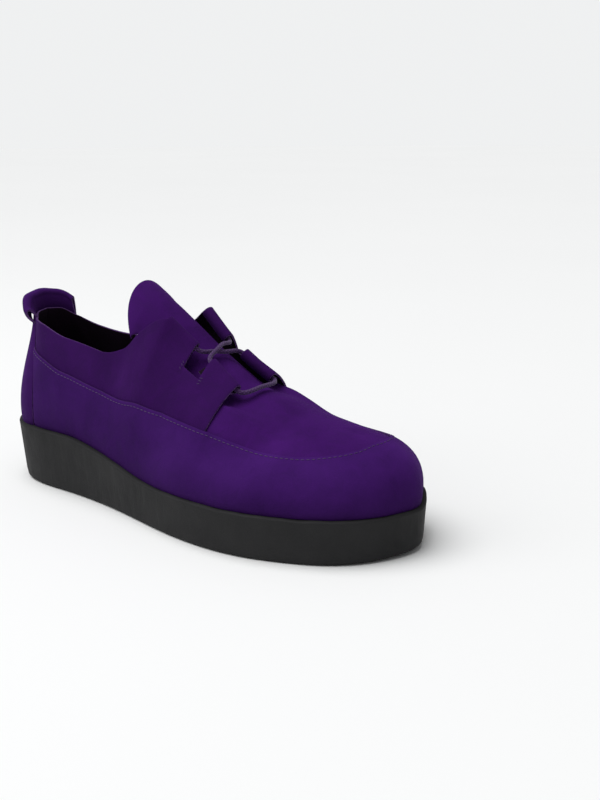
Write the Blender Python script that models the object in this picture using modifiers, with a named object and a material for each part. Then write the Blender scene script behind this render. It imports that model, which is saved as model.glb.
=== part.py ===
"""Right shoe: a suede loafer with lace tunnels on a black wedge platform sole.

Metres, +Z up. The toe points to +X and the outer side of the foot to -Y. The floor is z = 0,
and the origin lies under the middle of the shoe.
"""

import math

import bmesh
import bpy
import numpy as np
from mathutils import Vector

# Sole
SOLE_LENGTH = 0.270
BALL_WIDTH = 0.104
HEEL_HEIGHT = 0.0355
FOREPART_HEIGHT = 0.0235
WEDGE_START = 0.20
WEDGE_END = 0.53
HEEL_FLARE = 0.0032
FOREPART_FLARE = 0.0015
TOE_SPRING = 0.0018
TOE_SPRING_START = 0.86
TREAD_BEVEL = 0.0022
RIM_BEVEL = 0.0010

# Upper
INSTEP_RISE = 0.0870
HEEL_RIM = 0.0042
FOREPART_RIM = 0.0034
WALL = 0.0016
MUDGUARD_STEP = 0.0011
QUARTER_STEP = 0.0014
NOTCH_DEPTH = 0.0130
TUNNEL_RADIUS = 0.0034
FIT_GAP = 0.0003

# Tongue, insole, heel panel and lace
TONGUE_THICKNESS = 0.0018
TONGUE_HALF_WIDTH = 0.0255
INSOLE_THICKNESS = 0.0030
PANEL_THICKNESS = 0.0013
PANEL_SEAT = 0.0008
PANEL_TAB_RISE = 0.0075
PANEL_TAB_ROLL = 0.0021
PANEL_TAB_FLAP = 0.0065
LACE_RADIUS = 0.00120

PURPLE = (0.052, 0.006, 0.150, 1.0)
DARK_PURPLE = (0.020, 0.004, 0.045, 1.0)
BLACK_RUBBER = (0.022, 0.022, 0.023, 1.0)
LACE_PURPLE = (0.120, 0.040, 0.200, 1.0)

# The plan of the tread. along is a share of SOLE_LENGTH from the heel, outer and inner are
# shares of BALL_WIDTH out from the shoe's axis.
PLAN_COLUMNS = ("along", "outer", "inner")
PLAN = (
    (0.000, 0.000, 0.000),
    (0.013, 0.130, 0.130),
    (0.048, 0.250, 0.250),
    (0.111, 0.322, 0.317),
    (0.204, 0.346, 0.322),
    (0.315, 0.380, 0.303),
    (0.426, 0.442, 0.303),
    (0.537, 0.514, 0.356),
    (0.637, 0.553, 0.418),
    (0.733, 0.548, 0.442),
    (0.822, 0.490, 0.418),
    (0.896, 0.405, 0.360),
    (0.948, 0.292, 0.274),
    (0.983, 0.155, 0.130),
    (1.000, 0.005, -0.005),
)

# The sections of the upper behind the throat, which end at the collar or at the throat's edge.
# root is a share of SOLE_LENGTH, where the section stands on the plan. edge_along is a share
# of SOLE_LENGTH, edge_outer and edge_inner are shares of BALL_WIDTH, and rise_outer and
# rise_inner are shares of INSTEP_RISE above the sole. low_out and low_up, high_out and
# high_down place the two handles of the section's curve, as shares of INSTEP_RISE. seam is
# the height of the mudguard's edge, as a share of INSTEP_RISE. steps is how many mesh rows
# lead to the next section.
OPEN_COLUMNS = (
    "root", "edge_along", "edge_outer", "edge_inner", "rise_outer", "rise_inner",
    "low_out", "low_up", "high_out", "high_down", "seam", "steps",
)
OPEN_SECTIONS = (
    (0.000, 0.038, 0.000, 0.000, 0.735, 0.735, 0.030, 0.26, 0.048, 0.26, 0.620, 2),
    (0.030, 0.047, 0.084, 0.084, 0.728, 0.725, 0.034, 0.26, 0.048, 0.26, 0.612, 3),
    (0.107, 0.069, 0.148, 0.148, 0.706, 0.672, 0.032, 0.25, 0.055, 0.25, 0.590, 2),
    (0.150, 0.115, 0.212, 0.217, 0.688, 0.592, 0.036, 0.24, 0.060, 0.22, 0.555, 3),
    (0.204, 0.200, 0.240, 0.245, 0.622, 0.552, 0.045, 0.22, 0.060, 0.20, 0.490, 3),
    (0.300, 0.296, 0.238, 0.240, 0.600, 0.585, 0.045, 0.22, 0.070, 0.18, 0.440, 2),
    (0.360, 0.358, 0.225, 0.225, 0.672, 0.672, 0.045, 0.24, 0.090, 0.20, 0.422, 1),
    (0.398, 0.405, 0.205, 0.205, 0.800, 0.800, 0.040, 0.27, 0.110, 0.22, 0.422, 1),
    (0.445, 0.460, 0.178, 0.178, 0.935, 0.935, 0.040, 0.28, 0.140, 0.20, 0.425, 4),
    (0.505, 0.522, 0.150, 0.150, 0.800, 0.800, 0.040, 0.28, 0.140, 0.14, 0.410, 2),
    (0.548, 0.561, 0.150, 0.150, 0.725, 0.725, 0.040, 0.27, 0.140, 0.10, 0.390, 5),
    (0.615, 0.626, 0.163, 0.163, 0.585, 0.585, 0.040, 0.25, 0.140, 0.06, 0.350, 0),
)
PANEL_LAST = 2
PANEL_GROOVE = 0.18
TUNNELS = ((8, 9), (10, 11))
NOTCH = (9, 10)

# The sections ahead of the throat, which close over the foot on the ridge. seam is a share
# of the section's curve here.
CLOSED_COLUMNS = (
    "root", "ridge_along", "ridge_side", "rise",
    "low_out", "low_up", "high_out", "high_down", "seam", "steps",
)
CLOSED_SECTIONS = (
    (0.618, 0.633, 0.010, 0.535, 0.040, 0.24, 0.270, 0.000, 0.430, 3),
    (0.675, 0.685, 0.012, 0.498, 0.045, 0.24, 0.270, 0.000, 0.445, 3),
    (0.750, 0.748, 0.018, 0.428, 0.045, 0.24, 0.270, 0.000, 0.480, 3),
    (0.828, 0.798, 0.024, 0.395, 0.045, 0.24, 0.240, 0.000, 0.515, 3),
    (0.896, 0.832, 0.027, 0.380, 0.045, 0.25, 0.200, 0.000, 0.570, 2),
    (0.948, 0.852, 0.029, 0.370, 0.045, 0.26, 0.190, 0.000, 0.640, 2),
    (0.983, 0.863, 0.029, 0.365, 0.045, 0.27, 0.190, 0.000, 0.720, 2),
    (1.000, 0.868, 0.029, 0.363, 0.045, 0.27, 0.190, 0.000, 0.750, 0),
)

# The tongue's centre line. along is a share of SOLE_LENGTH, rise a share of INSTEP_RISE above
# the sole, arch the drop of the tongue's edges and width its half width, as shares of
# TONGUE_HALF_WIDTH.
TONGUE_COLUMNS = ("along", "side", "rise", "arch", "width")
TONGUE = (
    (0.632, 0.000, 0.535, 0.36, 0.86),
    (0.595, 0.000, 0.598, 0.38, 0.86),
    (0.560, 0.000, 0.662, 0.40, 0.86),
    (0.525, 0.000, 0.731, 0.42, 0.85),
    (0.463, 0.000, 0.880, 0.52, 0.74),
    (0.400, 0.004, 0.985, 0.66, 0.76),
    (0.366, 0.016, 1.022, 0.74, 0.88),
    (0.332, 0.030, 1.050, 0.78, 0.98),
)


def column(table, columns, name):
    """One named column of a table, as an array."""
    return np.array([row[columns.index(name)] for row in table], float)


def smooth_step(low, high, value):
    """0 below low, 1 above high, and an even S-curve between."""
    share = np.clip((value - low) / (high - low), 0.0, 1.0)
    return share * share * (3.0 - 2.0 * share)


def closed_spline(knots, values, period, at):
    """A smooth closed curve through values at knots, read at the places in at."""
    count = len(knots)
    steps = np.diff(np.append(knots, knots[0] + period))
    system = np.zeros((count, count))
    right = np.zeros((count, values.shape[1]))
    for i in range(count):
        before, after = steps[i - 1], steps[i]
        previous, following = (i - 1) % count, (i + 1) % count
        system[i, previous] += after
        system[i, i] += 2.0 * (before + after)
        system[i, following] += before
        right[i] = 3.0 * (
            after / before * (values[i] - values[previous])
            + before / after * (values[following] - values[i])
        )
    slopes = np.linalg.solve(system, right)
    place = (np.asarray(at, float) - knots[0]) % period + knots[0]
    index = np.clip(np.searchsorted(knots, place, side="right") - 1, 0, count - 1)
    step = steps[index][:, None]
    share = ((place - knots[index]) / steps[index])[:, None]
    start, end = values[index], values[(index + 1) % count]
    leave, arrive = slopes[index] * step, slopes[(index + 1) % count] * step
    return (
        start * (1 + 2 * share) * (1 - share) ** 2
        + leave * share * (1 - share) ** 2
        + end * share**2 * (3 - 2 * share)
        + arrive * share**2 * (share - 1)
    )


def eased(knots, values, at):
    """A curve through values at knots that never swings past them."""
    knots, values = np.asarray(knots, float), np.asarray(values, float)
    steps = np.diff(knots)
    rates = np.diff(values) / steps
    slopes = np.zeros(len(knots))
    slopes[0], slopes[-1] = rates[0], rates[-1]
    for i in range(1, len(knots) - 1):
        if rates[i - 1] * rates[i] > 0:
            slopes[i] = 2 * rates[i - 1] * rates[i] / (rates[i - 1] + rates[i])
    place = np.clip(np.asarray(at, float), knots[0], knots[-1])
    index = np.clip(np.searchsorted(knots, place, side="right") - 1, 0, len(steps) - 1)
    step = steps[index]
    share = (place - knots[index]) / step
    return (
        values[index] * (1 + 2 * share) * (1 - share) ** 2
        + slopes[index] * step * share * (1 - share) ** 2
        + values[index + 1] * share**2 * (3 - 2 * share)
        + slopes[index + 1] * step * share**2 * (share - 1)
    )


def plan_knots():
    """The plan's points round the shoe and their stations: 0 heel, 1 toe, 2 the heel again."""
    along = column(PLAN, PLAN_COLUMNS, "along") * SOLE_LENGTH
    outer = -column(PLAN, PLAN_COLUMNS, "outer") * BALL_WIDTH
    inner = column(PLAN, PLAN_COLUMNS, "inner") * BALL_WIDTH
    gaps = np.hypot(np.diff(along), np.diff(outer))
    stations = np.append(0.0, np.cumsum(gaps)) / gaps.sum()
    points = [(x, y) for x, y in zip(along, outer)]
    points += [(x, y) for x, y in zip(along[-2:0:-1], inner[-2:0:-1])]
    knots = np.append(stations, 2.0 - stations[-2:0:-1])
    return knots, np.array(points)


PLAN_STATIONS, PLAN_POINTS = plan_knots()


def plan_point(station, grow=0.0):
    """A point of the plan, moved out from it by grow."""
    near = 1e-4
    read = np.atleast_1d(station)
    here = closed_spline(PLAN_STATIONS, PLAN_POINTS, 2.0, read)
    ahead = closed_spline(PLAN_STATIONS, PLAN_POINTS, 2.0, read + near)
    behind = closed_spline(PLAN_STATIONS, PLAN_POINTS, 2.0, read - near)
    way = ahead - behind
    out = np.stack([way[:, 1], -way[:, 0]], axis=1) / np.linalg.norm(way, axis=1)[:, None]
    return here + out * np.reshape(grow, (-1, 1))


def station_of(along):
    """The station on the outer side of a share of SOLE_LENGTH."""
    outer = column(PLAN, PLAN_COLUMNS, "along")
    return float(eased(outer, PLAN_STATIONS[: len(outer)], along))


def sole_top(x):
    """Height of the sole's top face at a distance from the heel."""
    share = smooth_step(WEDGE_START, WEDGE_END, x / SOLE_LENGTH)
    return HEEL_HEIGHT + (FOREPART_HEIGHT - HEEL_HEIGHT) * share


def tread_height(x):
    """Height of the tread, flat but for the lift at the toe."""
    lift = np.clip((x / SOLE_LENGTH - TOE_SPRING_START) / (1.0 - TOE_SPRING_START), 0, 1)
    return TOE_SPRING * lift * lift


def flare(x):
    """How far the sole's top edge stands out past the tread."""
    share = smooth_step(WEDGE_START, WEDGE_END, x / SOLE_LENGTH)
    return HEEL_FLARE + (FOREPART_FLARE - HEEL_FLARE) * share


def upper_inset(x):
    """How far the upper's foot stands in from the sole's top edge."""
    share = smooth_step(WEDGE_START, WEDGE_END, x / SOLE_LENGTH)
    return HEEL_RIM + (FOREPART_RIM - HEEL_RIM) * share


def feather_point(station):
    """Where the upper meets the sole, as (x, y, z) from the heel."""
    x = plan_point(station)[0, 0]
    point = plan_point(station, flare(x) - upper_inset(x))[0]
    return np.array([point[0], point[1], sole_top(point[0]) + FIT_GAP])


def rows_of(table, columns):
    """The stations of the mesh rows, and for each its fraction of the way down the table."""
    roots = [station_of(value) for value in column(table, columns, "root")]
    steps = column(table, columns, "steps").astype(int)
    places, stations = [], []
    for i in range(len(table) - 1):
        for k in range(steps[i]):
            share = k / steps[i]
            places.append(i + share)
            stations.append(roots[i] + (roots[i + 1] - roots[i]) * share)
    return places + [len(table) - 1.0], stations + [roots[-1]]


def read_row(table, columns, place, read=None):
    """The table's values at a fractional row, eased between the rows unless read is given."""
    knots = np.arange(len(table), dtype=float)
    names = [name for name in columns if name != "steps"]
    if read is None:
        return {name: float(eased(knots, column(table, columns, name), place)) for name in names}
    return {name: float(read(place, knots, column(table, columns, name))) for name in names}


def section_curve(root, edge, row):
    """The four control points of a section, in the upright plane of its root and its edge."""
    out = root[:2] - edge[:2]
    out = out / np.linalg.norm(out)
    low = root + INSTEP_RISE * np.array([*(out * row["low_out"]), row["low_up"]])
    high = edge + INSTEP_RISE * np.array([*(out * row["high_out"]), -row["high_down"]])
    return root, low, high, edge


def on_curve(curve, share):
    """The point of a section's curve at a share of its parameter."""
    a, b, c, d = curve
    rest = 1.0 - share
    return a * rest**3 + 3 * b * rest**2 * share + 3 * c * rest * share**2 + d * share**3


def ring_shares(seam, notch):
    """The parameters of the mesh rings up a section, from the feather to the edge."""
    lower = [seam * k / 4 for k in range(4)] + [seam - 0.008]
    middle = [seam + 0.008 + (notch - seam - 0.008) * k / 3 for k in range(3)]
    return lower + middle + [notch + (1.0 - notch) * k / 3 for k in range(4)]


SEAM_RING = 4
NOTCH_RING = 8
EDGE_RING = 11
RIDGE_RING = 15


def notch_share(curve):
    """The parameter at which the curve still has NOTCH_DEPTH to run to its end."""
    shares = np.linspace(1.0, 0.5, 60)
    points = np.array([on_curve(curve, share) for share in shares])
    runs = np.append(0.0, np.cumsum(np.linalg.norm(np.diff(points, axis=0), axis=1)))
    return float(np.interp(NOTCH_DEPTH, runs, shares))


def share_at_height(curve, height):
    """The parameter at which the curve has risen by height over its start."""
    shares = np.linspace(0.0, 1.0, 80)
    rises = np.array([on_curve(curve, share)[2] for share in shares]) - curve[0][2]
    return float(np.interp(height, np.maximum.accumulate(rises), shares))


def open_points(place, station, side):
    """The mesh points of a collar or throat section: side is -1 outside, 1 inside."""
    straight = np.interp if place >= TUNNELS[0][0] else None
    row = read_row(OPEN_SECTIONS, OPEN_COLUMNS, place, straight)
    name = "outer" if side < 0 else "inner"
    root = feather_point(station if side < 0 else 2.0 - station)
    top = sole_top(root[0]) + row["rise_" + name] * INSTEP_RISE
    reach = side * row["edge_" + name] * BALL_WIDTH
    edge = np.array([row["edge_along"] * SOLE_LENGTH, reach, top])
    curve = section_curve(root, edge, row)
    height = min(row["seam"], row["rise_" + name] - 0.13)
    seam = share_at_height(curve, height * INSTEP_RISE)
    notch = max(notch_share(curve), seam + 0.45 * (1.0 - seam))
    return np.array([on_curve(curve, share) for share in ring_shares(seam, notch)])


def closed_points(place, station, side):
    """The mesh points of a section ahead of the throat, which ends on the ridge."""
    row = read_row(CLOSED_SECTIONS, CLOSED_COLUMNS, place)
    root = feather_point(station if side < 0 else 2.0 - station)
    outer_root = feather_point(station)
    top = sole_top(outer_root[0]) + row["rise"] * INSTEP_RISE
    ridge = np.array([row["ridge_along"] * SOLE_LENGTH, row["ridge_side"] * BALL_WIDTH, top])
    curve = section_curve(root, ridge, row)
    seam = row["seam"]
    rest = (1.0 - seam) * 0.55
    shares = ring_shares(seam, seam + rest * 0.55)[: NOTCH_RING + 1]
    shares += [seam + rest * (0.55 + 0.45 * k / 3) for k in range(1, 4)]
    shares += [seam + rest + (1.0 - seam - rest) * k / 4 for k in range(1, 5)]
    return np.array([on_curve(curve, share) for share in shares])


def grid_normals(grid, side):
    """Outward normals of a grid of rows from heel to toe and rings from the feather up."""
    normals = np.cross(np.gradient(grid, axis=0), np.gradient(grid, axis=1)) * -side
    return normals / np.maximum(np.linalg.norm(normals, axis=2, keepdims=True), 1e-12)


def upper_rows(side):
    """One side of the upper: the open rows' places, points and normals, and the closed rows."""
    places, stations = rows_of(OPEN_SECTIONS, OPEN_COLUMNS)
    groove = places.index(PANEL_LAST) + 1
    places.insert(groove, PANEL_LAST + PANEL_GROOVE)
    start, end = stations[groove - 1], stations[groove]
    stations.insert(groove, start + (end - start) * PANEL_GROOVE * 2)
    back = np.array([open_points(p, s, side) for p, s in zip(places, stations)])
    shut_places, shut_stations = rows_of(CLOSED_SECTIONS, CLOSED_COLUMNS)
    front = np.array([closed_points(p, s, side) for p, s in zip(shut_places, shut_stations)])

    match = np.zeros((RIDGE_RING + 1, 3))
    match[: NOTCH_RING + 1] = back[-1, : NOTCH_RING + 1] - front[0, : NOTCH_RING + 1]
    match[:, 0] = 0.0
    fade = np.array([0.6, 0.25, 0.08, 0.0])
    match[NOTCH_RING + 1 : NOTCH_RING + 5] = match[NOTCH_RING] * fade[:, None]
    for i in range(len(front)):
        front[i] += match * (1.0 - smooth_step(0.0, 7.0, float(i)))

    rings = np.arange(EDGE_RING + 1)
    mudguard = np.where(rings <= SEAM_RING, MUDGUARD_STEP, 0.0)
    rise = mudguard + QUARTER_STEP * np.clip(rings / SEAM_RING, 0.0, 1.0)
    out = grid_normals(back, side)
    out[0] = out[0] * np.array([1.0, 0.0, 1.0])
    out[0] /= np.linalg.norm(out[0], axis=1, keepdims=True)
    for i, place in enumerate(places):
        lift = rise if place > PANEL_LAST else np.full(len(rings), PANEL_SEAT)
        back[i] += out[i] * lift[:, None]
    ahead = grid_normals(front, side)
    front[:, : SEAM_RING + 1] += ahead[:, : SEAM_RING + 1] * MUDGUARD_STEP
    return places, back, front, out


def tunnel_roll(rows, index, first, last, side):
    """The points of a lace tunnel past a row's edge: the roll, then the flap under the wall."""
    here = rows[index]
    axis = rows[last][EDGE_RING] - rows[first][EDGE_RING]
    axis /= np.linalg.norm(axis)
    up = here[EDGE_RING] - here[EDGE_RING - 1]
    up = up - axis * up.dot(axis)
    up /= np.linalg.norm(up)
    out = np.cross(axis, up) * -side
    centre = here[EDGE_RING] - out * TUNNEL_RADIUS
    points = []
    for angle in (58, 28, 0, -30, -60, -90, -118):
        turn = math.radians(angle)
        points.append(centre + TUNNEL_RADIUS * (math.cos(turn) * up + math.sin(turn) * out))
    depth = 2 * WALL + FIT_GAP
    points.append(here[EDGE_RING] - up * (TUNNEL_RADIUS + 0.0022) - out * (depth + 0.0007))
    points.append(here[EDGE_RING] - up * (TUNNEL_RADIUS + 0.0052) - out * (depth + 0.0004))
    return points, centre


def add_strip(bm, left, right):
    """Quads between two runs of vertices, left out where a vertex is missing or shared."""
    for i in range(len(left) - 1):
        corners = [left[i], right[i], right[i + 1], left[i + 1]]
        unique = []
        for corner in corners:
            if corner not in unique:
                unique.append(corner)
        if len(unique) > 2:
            bm.faces.new(unique)


def new_object(name, bm, material, collection):
    mesh = bpy.data.meshes.new(name)
    bm.to_mesh(mesh)
    bm.free()
    mesh.materials.append(material)
    obj = bpy.data.objects.new(name, mesh)
    collection.objects.link(obj)
    return obj


def smooth(obj, angle):
    for polygon in obj.data.polygons:
        polygon.use_smooth = True
    obj.data.set_sharp_from_angle(angle=math.radians(angle))


def add_thickness(obj, thickness):
    solid = obj.modifiers.new("Thickness", "SOLIDIFY")
    solid.thickness = thickness
    solid.offset = -1.0
    solid.use_even_offset = True
    solid.use_rim = True
    return solid


def build_upper(material, collection, shift):
    """The upper as one skin of rows and rings, given its wall by Solidify."""
    bm = bmesh.new()
    sides = {side: upper_rows(side) for side in (-1, 1)}
    toe = (sides[-1][2][-1] + sides[1][2][-1]) / 2
    sides[-1][2][-1] = toe
    sides[1][2][-1] = toe
    paths = {}
    made = {}
    heel_row = None
    ridge = None
    for side in (-1, 1):
        places, back, front, out = sides[side]
        rows = []
        for i, place in enumerate(places):
            if i == 0 and heel_row is not None:
                rows.append(heel_row)
                continue
            if i == 0:
                back[0][:, 1] = 0.0
            rows.append([bm.verts.new(point + shift) for point in back[i]])
            if i == 0:
                heel_row = rows[0]
        shut = []
        for i in range(len(front)):
            run = [bm.verts.new(point + shift) for point in front[i][:RIDGE_RING]]
            shut.append(run)
        if ridge is None:
            other = sides[1][2]
            ridge = []
            for i in range(len(front)):
                middle = (front[i][RIDGE_RING] + other[i][RIDGE_RING]) / 2
                ridge.append(bm.verts.new(middle + shift))
        for i in range(len(front)):
            shut[i].append(ridge[i])
        made[side] = (rows, shut)
        curls = {}
        for start, end in TUNNELS:
            first, last = places.index(start), places.index(end)
            for i in range(first, last + 1):
                points, centre = tunnel_roll(back, i, first, last, side)
                curls[i] = [rows[i][EDGE_RING]] + [bm.verts.new(p + shift) for p in points]
                paths.setdefault(side, []).append((places[i], centre + shift))
        for i in range(len(places) - 1):
            top = EDGE_RING + 1
            if NOTCH[0] <= places[i] and places[i + 1] <= NOTCH[1]:
                top = NOTCH_RING + 1
            left, right = rows[i][:top], rows[i + 1][:top]
            add_strip(bm, left, right)
            if any(f <= places[i] and places[i + 1] <= g for f, g in TUNNELS):
                add_strip(bm, curls[i], curls[i + 1])
        add_strip(bm, rows[-1][: NOTCH_RING + 1], shut[0][: NOTCH_RING + 1])
        for i in range(len(shut) - 1):
            add_strip(bm, shut[i], shut[i + 1])
    bmesh.ops.remove_doubles(bm, verts=bm.verts, dist=0.0001)
    loose = [vert for vert in bm.verts if not vert.link_faces]
    bmesh.ops.delete(bm, geom=loose, context="VERTS")
    bmesh.ops.recalc_face_normals(bm, faces=bm.faces)
    low = min(bm.faces, key=lambda face: face.calc_center_median().x)
    if low.normal.x > 0:
        bmesh.ops.reverse_faces(bm, faces=bm.faces)
    obj = new_object("upper", bm, material, collection)
    add_thickness(obj, WALL)
    smooth(obj, 40)
    return obj, paths


def outline(count, grow, height):
    """A closed run of plan points at count stations, moved out by grow, at a height."""
    points = []
    for k in range(count):
        station = 2.0 * k / count
        x = plan_point(station)[0, 0]
        moved = plan_point(station, grow(x))[0]
        points.append(Vector((moved[0], moved[1], height(moved[0]))))
    return points


def loft(bm, loops, shift):
    """Closed loops bridged one to the next, and the first and last filled across the shoe."""
    count = len(loops[0])
    rings = [[bm.verts.new(point + Vector(shift)) for point in loop] for loop in loops]
    for low, high in zip(rings, rings[1:]):
        add_strip(bm, low + low[:1], high + high[:1])
    for ring in (rings[0], rings[-1]):
        half = count // 2
        outer = ring[: half + 1]
        inner = [ring[0]] + ring[: half - 1 : -1]
        add_strip(bm, outer, inner)
    bmesh.ops.recalc_face_normals(bm, faces=bm.faces)


def build_sole(material, collection, shift):
    """The wedge platform: its walls lean out from the tread to the rim."""
    bm = bmesh.new()
    loops = [
        outline(96, lambda x: -TREAD_BEVEL, tread_height),
        outline(96, lambda x: -TREAD_BEVEL * 0.3, lambda x: tread_height(x) + TREAD_BEVEL * 0.3),
        outline(96, lambda x: 0.08 * flare(x), lambda x: tread_height(x) + TREAD_BEVEL),
        outline(96, lambda x: 0.60 * flare(x), lambda x: 0.55 * sole_top(x)),
        outline(96, lambda x: flare(x), lambda x: sole_top(x) - RIM_BEVEL),
        outline(96, lambda x: flare(x) - RIM_BEVEL, sole_top),
    ]
    loft(bm, loops, shift)
    obj = new_object("outsole", bm, material, collection)
    smooth(obj, 35)
    return obj


def build_insole(material, collection, shift):
    bm = bmesh.new()
    inset = HEEL_RIM + WALL + 0.0014
    low = outline(64, lambda x: flare(x) - inset, lambda x: sole_top(x) + FIT_GAP)
    high = outline(
        64, lambda x: flare(x) - inset, lambda x: sole_top(x) + FIT_GAP + INSOLE_THICKNESS
    )
    loft(bm, [low, high], shift)
    obj = new_object("insole", bm, material, collection)
    smooth(obj, 35)
    return obj


def build_tongue(material, collection, shift):
    """The tongue as rows across it, from the vamp's rear edge to its tip over the instep."""
    bm = bmesh.new()
    near, far = upper_rows(-1)[2][0], upper_rows(1)[2][0]
    hem = np.vstack([near[NOTCH_RING + 1 :], far[NOTCH_RING + 1 : -1][::-1]])
    hem_y = hem[:, 1]
    knots = np.arange(len(TONGUE), dtype=float)
    along = column(TONGUE, TONGUE_COLUMNS, "along")
    rows = []
    steps = 22
    x0 = along[0] * SOLE_LENGTH
    for k in range(steps + 1):
        place = (len(TONGUE) - 1) * k / steps
        x = float(eased(knots, along, place)) * SOLE_LENGTH
        y = float(eased(knots, column(TONGUE, TONGUE_COLUMNS, "side"), place)) * BALL_WIDTH
        rise = float(eased(knots, column(TONGUE, TONGUE_COLUMNS, "rise"), place))
        arch = float(eased(knots, column(TONGUE, TONGUE_COLUMNS, "arch"), place))
        width = float(eased(knots, column(TONGUE, TONGUE_COLUMNS, "width"), place))
        z = sole_top(x) + rise * INSTEP_RISE
        row = []
        for j in range(15):
            share = -1.0 + 2.0 * j / 14
            reach = share * width * TONGUE_HALF_WIDTH
            drop = arch * TONGUE_HALF_WIDTH * share * share
            back = 0.0
            if k > steps - 6:
                part = (k - steps + 6) / 6.0
                back = 0.42 * TONGUE_HALF_WIDTH * part * part * share**4
            point = Vector((x + back, y + reach, z - drop - back * 0.5))
            blend = 1.0 - smooth_step(0.0, 5.0, float(k))
            if blend > 0:
                side_y = (hem_y[0] + (hem_y[-1] - hem_y[0]) * (j / 14)) * 0.93
                on_hem = [float(np.interp(side_y, hem_y, hem[:, axis])) for axis in (0, 1, 2)]
                start = Vector((on_hem[0] - 2 * FIT_GAP - (x0 - x), on_hem[1], on_hem[2]))
                point = point.lerp(start, float(blend))
            row.append(bm.verts.new(point + Vector(shift)))
        rows.append(row)
    for near, far in zip(rows, rows[1:]):
        add_strip(bm, near, far)
    bmesh.ops.recalc_face_normals(bm, faces=bm.faces)
    if sum(face.normal.z for face in bm.faces) < 0:
        bmesh.ops.reverse_faces(bm, faces=bm.faces)
    obj = new_object("tongue", bm, material, collection)
    add_thickness(obj, TONGUE_THICKNESS)
    smooth(obj, 35)
    return obj


def build_panel(material, collection, shift):
    """The heel panel: a strip over the heel wall whose top folds back as a rolled tab."""
    bm = bmesh.new()
    base = []
    for side in (-1, 1):
        places, back, front, out = upper_rows(side)
        last = places.index(PANEL_LAST) + 1
        seat = back[:last] + out[:last] * FIT_GAP
        seat[-1] += (seat[-2] - seat[-1]) * 0.06
        runs = [(seat[i], out[i]) for i in range(last)]
        base = runs[:0:-1] + [runs[0]] if side < 0 else base + runs[1:]
    rows = []
    for seat, out in base:
        run = list(seat)
        up = seat[-1] - seat[-2]
        up /= np.linalg.norm(up)
        lean = out[-1]
        run.append(run[-1] + up * PANEL_TAB_RISE * 0.5 + lean * 0.0006)
        run.append(run[-1] + up * PANEL_TAB_RISE * 0.5 + lean * 0.0012)
        centre = run[-1] + lean * PANEL_TAB_ROLL
        for angle in (150, 118, 86, 54, 22, -10):
            turn = math.radians(angle)
            run.append(centre + PANEL_TAB_ROLL * (math.cos(turn) * lean + math.sin(turn) * up))
        run.append(run[-1] - up * PANEL_TAB_FLAP * 0.5)
        run.append(run[-1] - up * PANEL_TAB_FLAP * 0.5)
        rows.append([bm.verts.new(point + shift) for point in run])
    for near, far in zip(rows, rows[1:]):
        add_strip(bm, near, far)
    bmesh.ops.recalc_face_normals(bm, faces=bm.faces)
    if min(bm.faces, key=lambda face: face.calc_center_median().x).normal.x > 0:
        bmesh.ops.reverse_faces(bm, faces=bm.faces)
    obj = new_object("heel_panel", bm, material, collection)
    solid = add_thickness(obj, PANEL_THICKNESS)
    solid.offset = 1.0
    smooth(obj, 40)
    return obj


def hermite(start, leave, end, arrive, count):
    """Points of a smooth run between two points with given directions, ends left out."""
    points = []
    for k in range(1, count):
        share = k / count
        a = 2 * share**3 - 3 * share**2 + 1
        b = share**3 - 2 * share**2 + share
        c = -2 * share**3 + 3 * share**2
        d = share**3 - share**2
        points.append(a * start + b * leave + c * end + d * arrive)
    return points


def build_lace(material, collection, paths):
    """One round cord: it starts and ends inside the upper tunnels and crosses itself once."""
    centres = {}
    for side in (-1, 1):
        run = sorted(paths[side], key=lambda item: item[0])
        centres[side] = (
            [point for place, point in run if place <= TUNNELS[0][1]],
            [point for place, point in run if place >= TUNNELS[1][0]],
        )

    def way(tunnel):
        return (tunnel[-1] - tunnel[0]) / np.linalg.norm(tunnel[-1] - tunnel[0])

    over = np.array([0.0, 0.0, LACE_RADIUS + 0.0003])
    lift = np.array([0.0, 0.0, 0.0012])
    leave = {(side, k): way(centres[side][k]) for side in (-1, 1) for k in (0, 1)}
    upper_in, lower_in = centres[1]
    upper_out, lower_out = centres[-1]
    points = list(upper_in[1:])
    start, end = points[-1], lower_out[0]
    middle = (start + end) / 2 + over + lift
    slope = (end - start) * 0.75
    points += hermite(start, leave[1, 0] * 0.017, middle, slope, 7) + [middle]
    points += hermite(middle, slope, end, leave[-1, 1] * 0.017, 7) + list(lower_out)
    start, end = points[-1], lower_in[-1]
    middle = (start + end) / 2 + np.array([0.0050, 0.0, -0.0008])
    slope = (end - start) * 0.8
    points += hermite(start, leave[-1, 1] * 0.016, middle, slope, 7) + [middle]
    points += hermite(middle, slope, end, -leave[1, 1] * 0.016, 7) + list(lower_in[::-1])
    start, end = points[-1], upper_out[-1]
    middle = (start + end) / 2 - over + lift
    slope = (end - start) * 0.75
    points += hermite(start, -leave[1, 1] * 0.017, middle, slope, 7) + [middle]
    points += hermite(middle, slope, end, -leave[-1, 0] * 0.017, 7) + list(upper_out[:0:-1])

    curve = bpy.data.curves.new("lace", "CURVE")
    curve.dimensions = "3D"
    spline = curve.splines.new("POLY")
    spline.points.add(len(points) - 1)
    for k, point in enumerate(points):
        spline.points[k].co = (*point, 1.0)
    curve.bevel_depth = LACE_RADIUS
    curve.bevel_resolution = 2
    curve.use_fill_caps = True
    curve.materials.append(material)
    obj = bpy.data.objects.new("lace", curve)
    collection.objects.link(obj)
    return obj


def make_material(name, color, roughness):
    material = bpy.data.materials.new(name)
    material.use_nodes = True
    shader = material.node_tree.nodes["Principled BSDF"]
    shader.inputs["Base Color"].default_value = color
    shader.inputs["Roughness"].default_value = roughness
    material.diffuse_color = color
    return material


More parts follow.
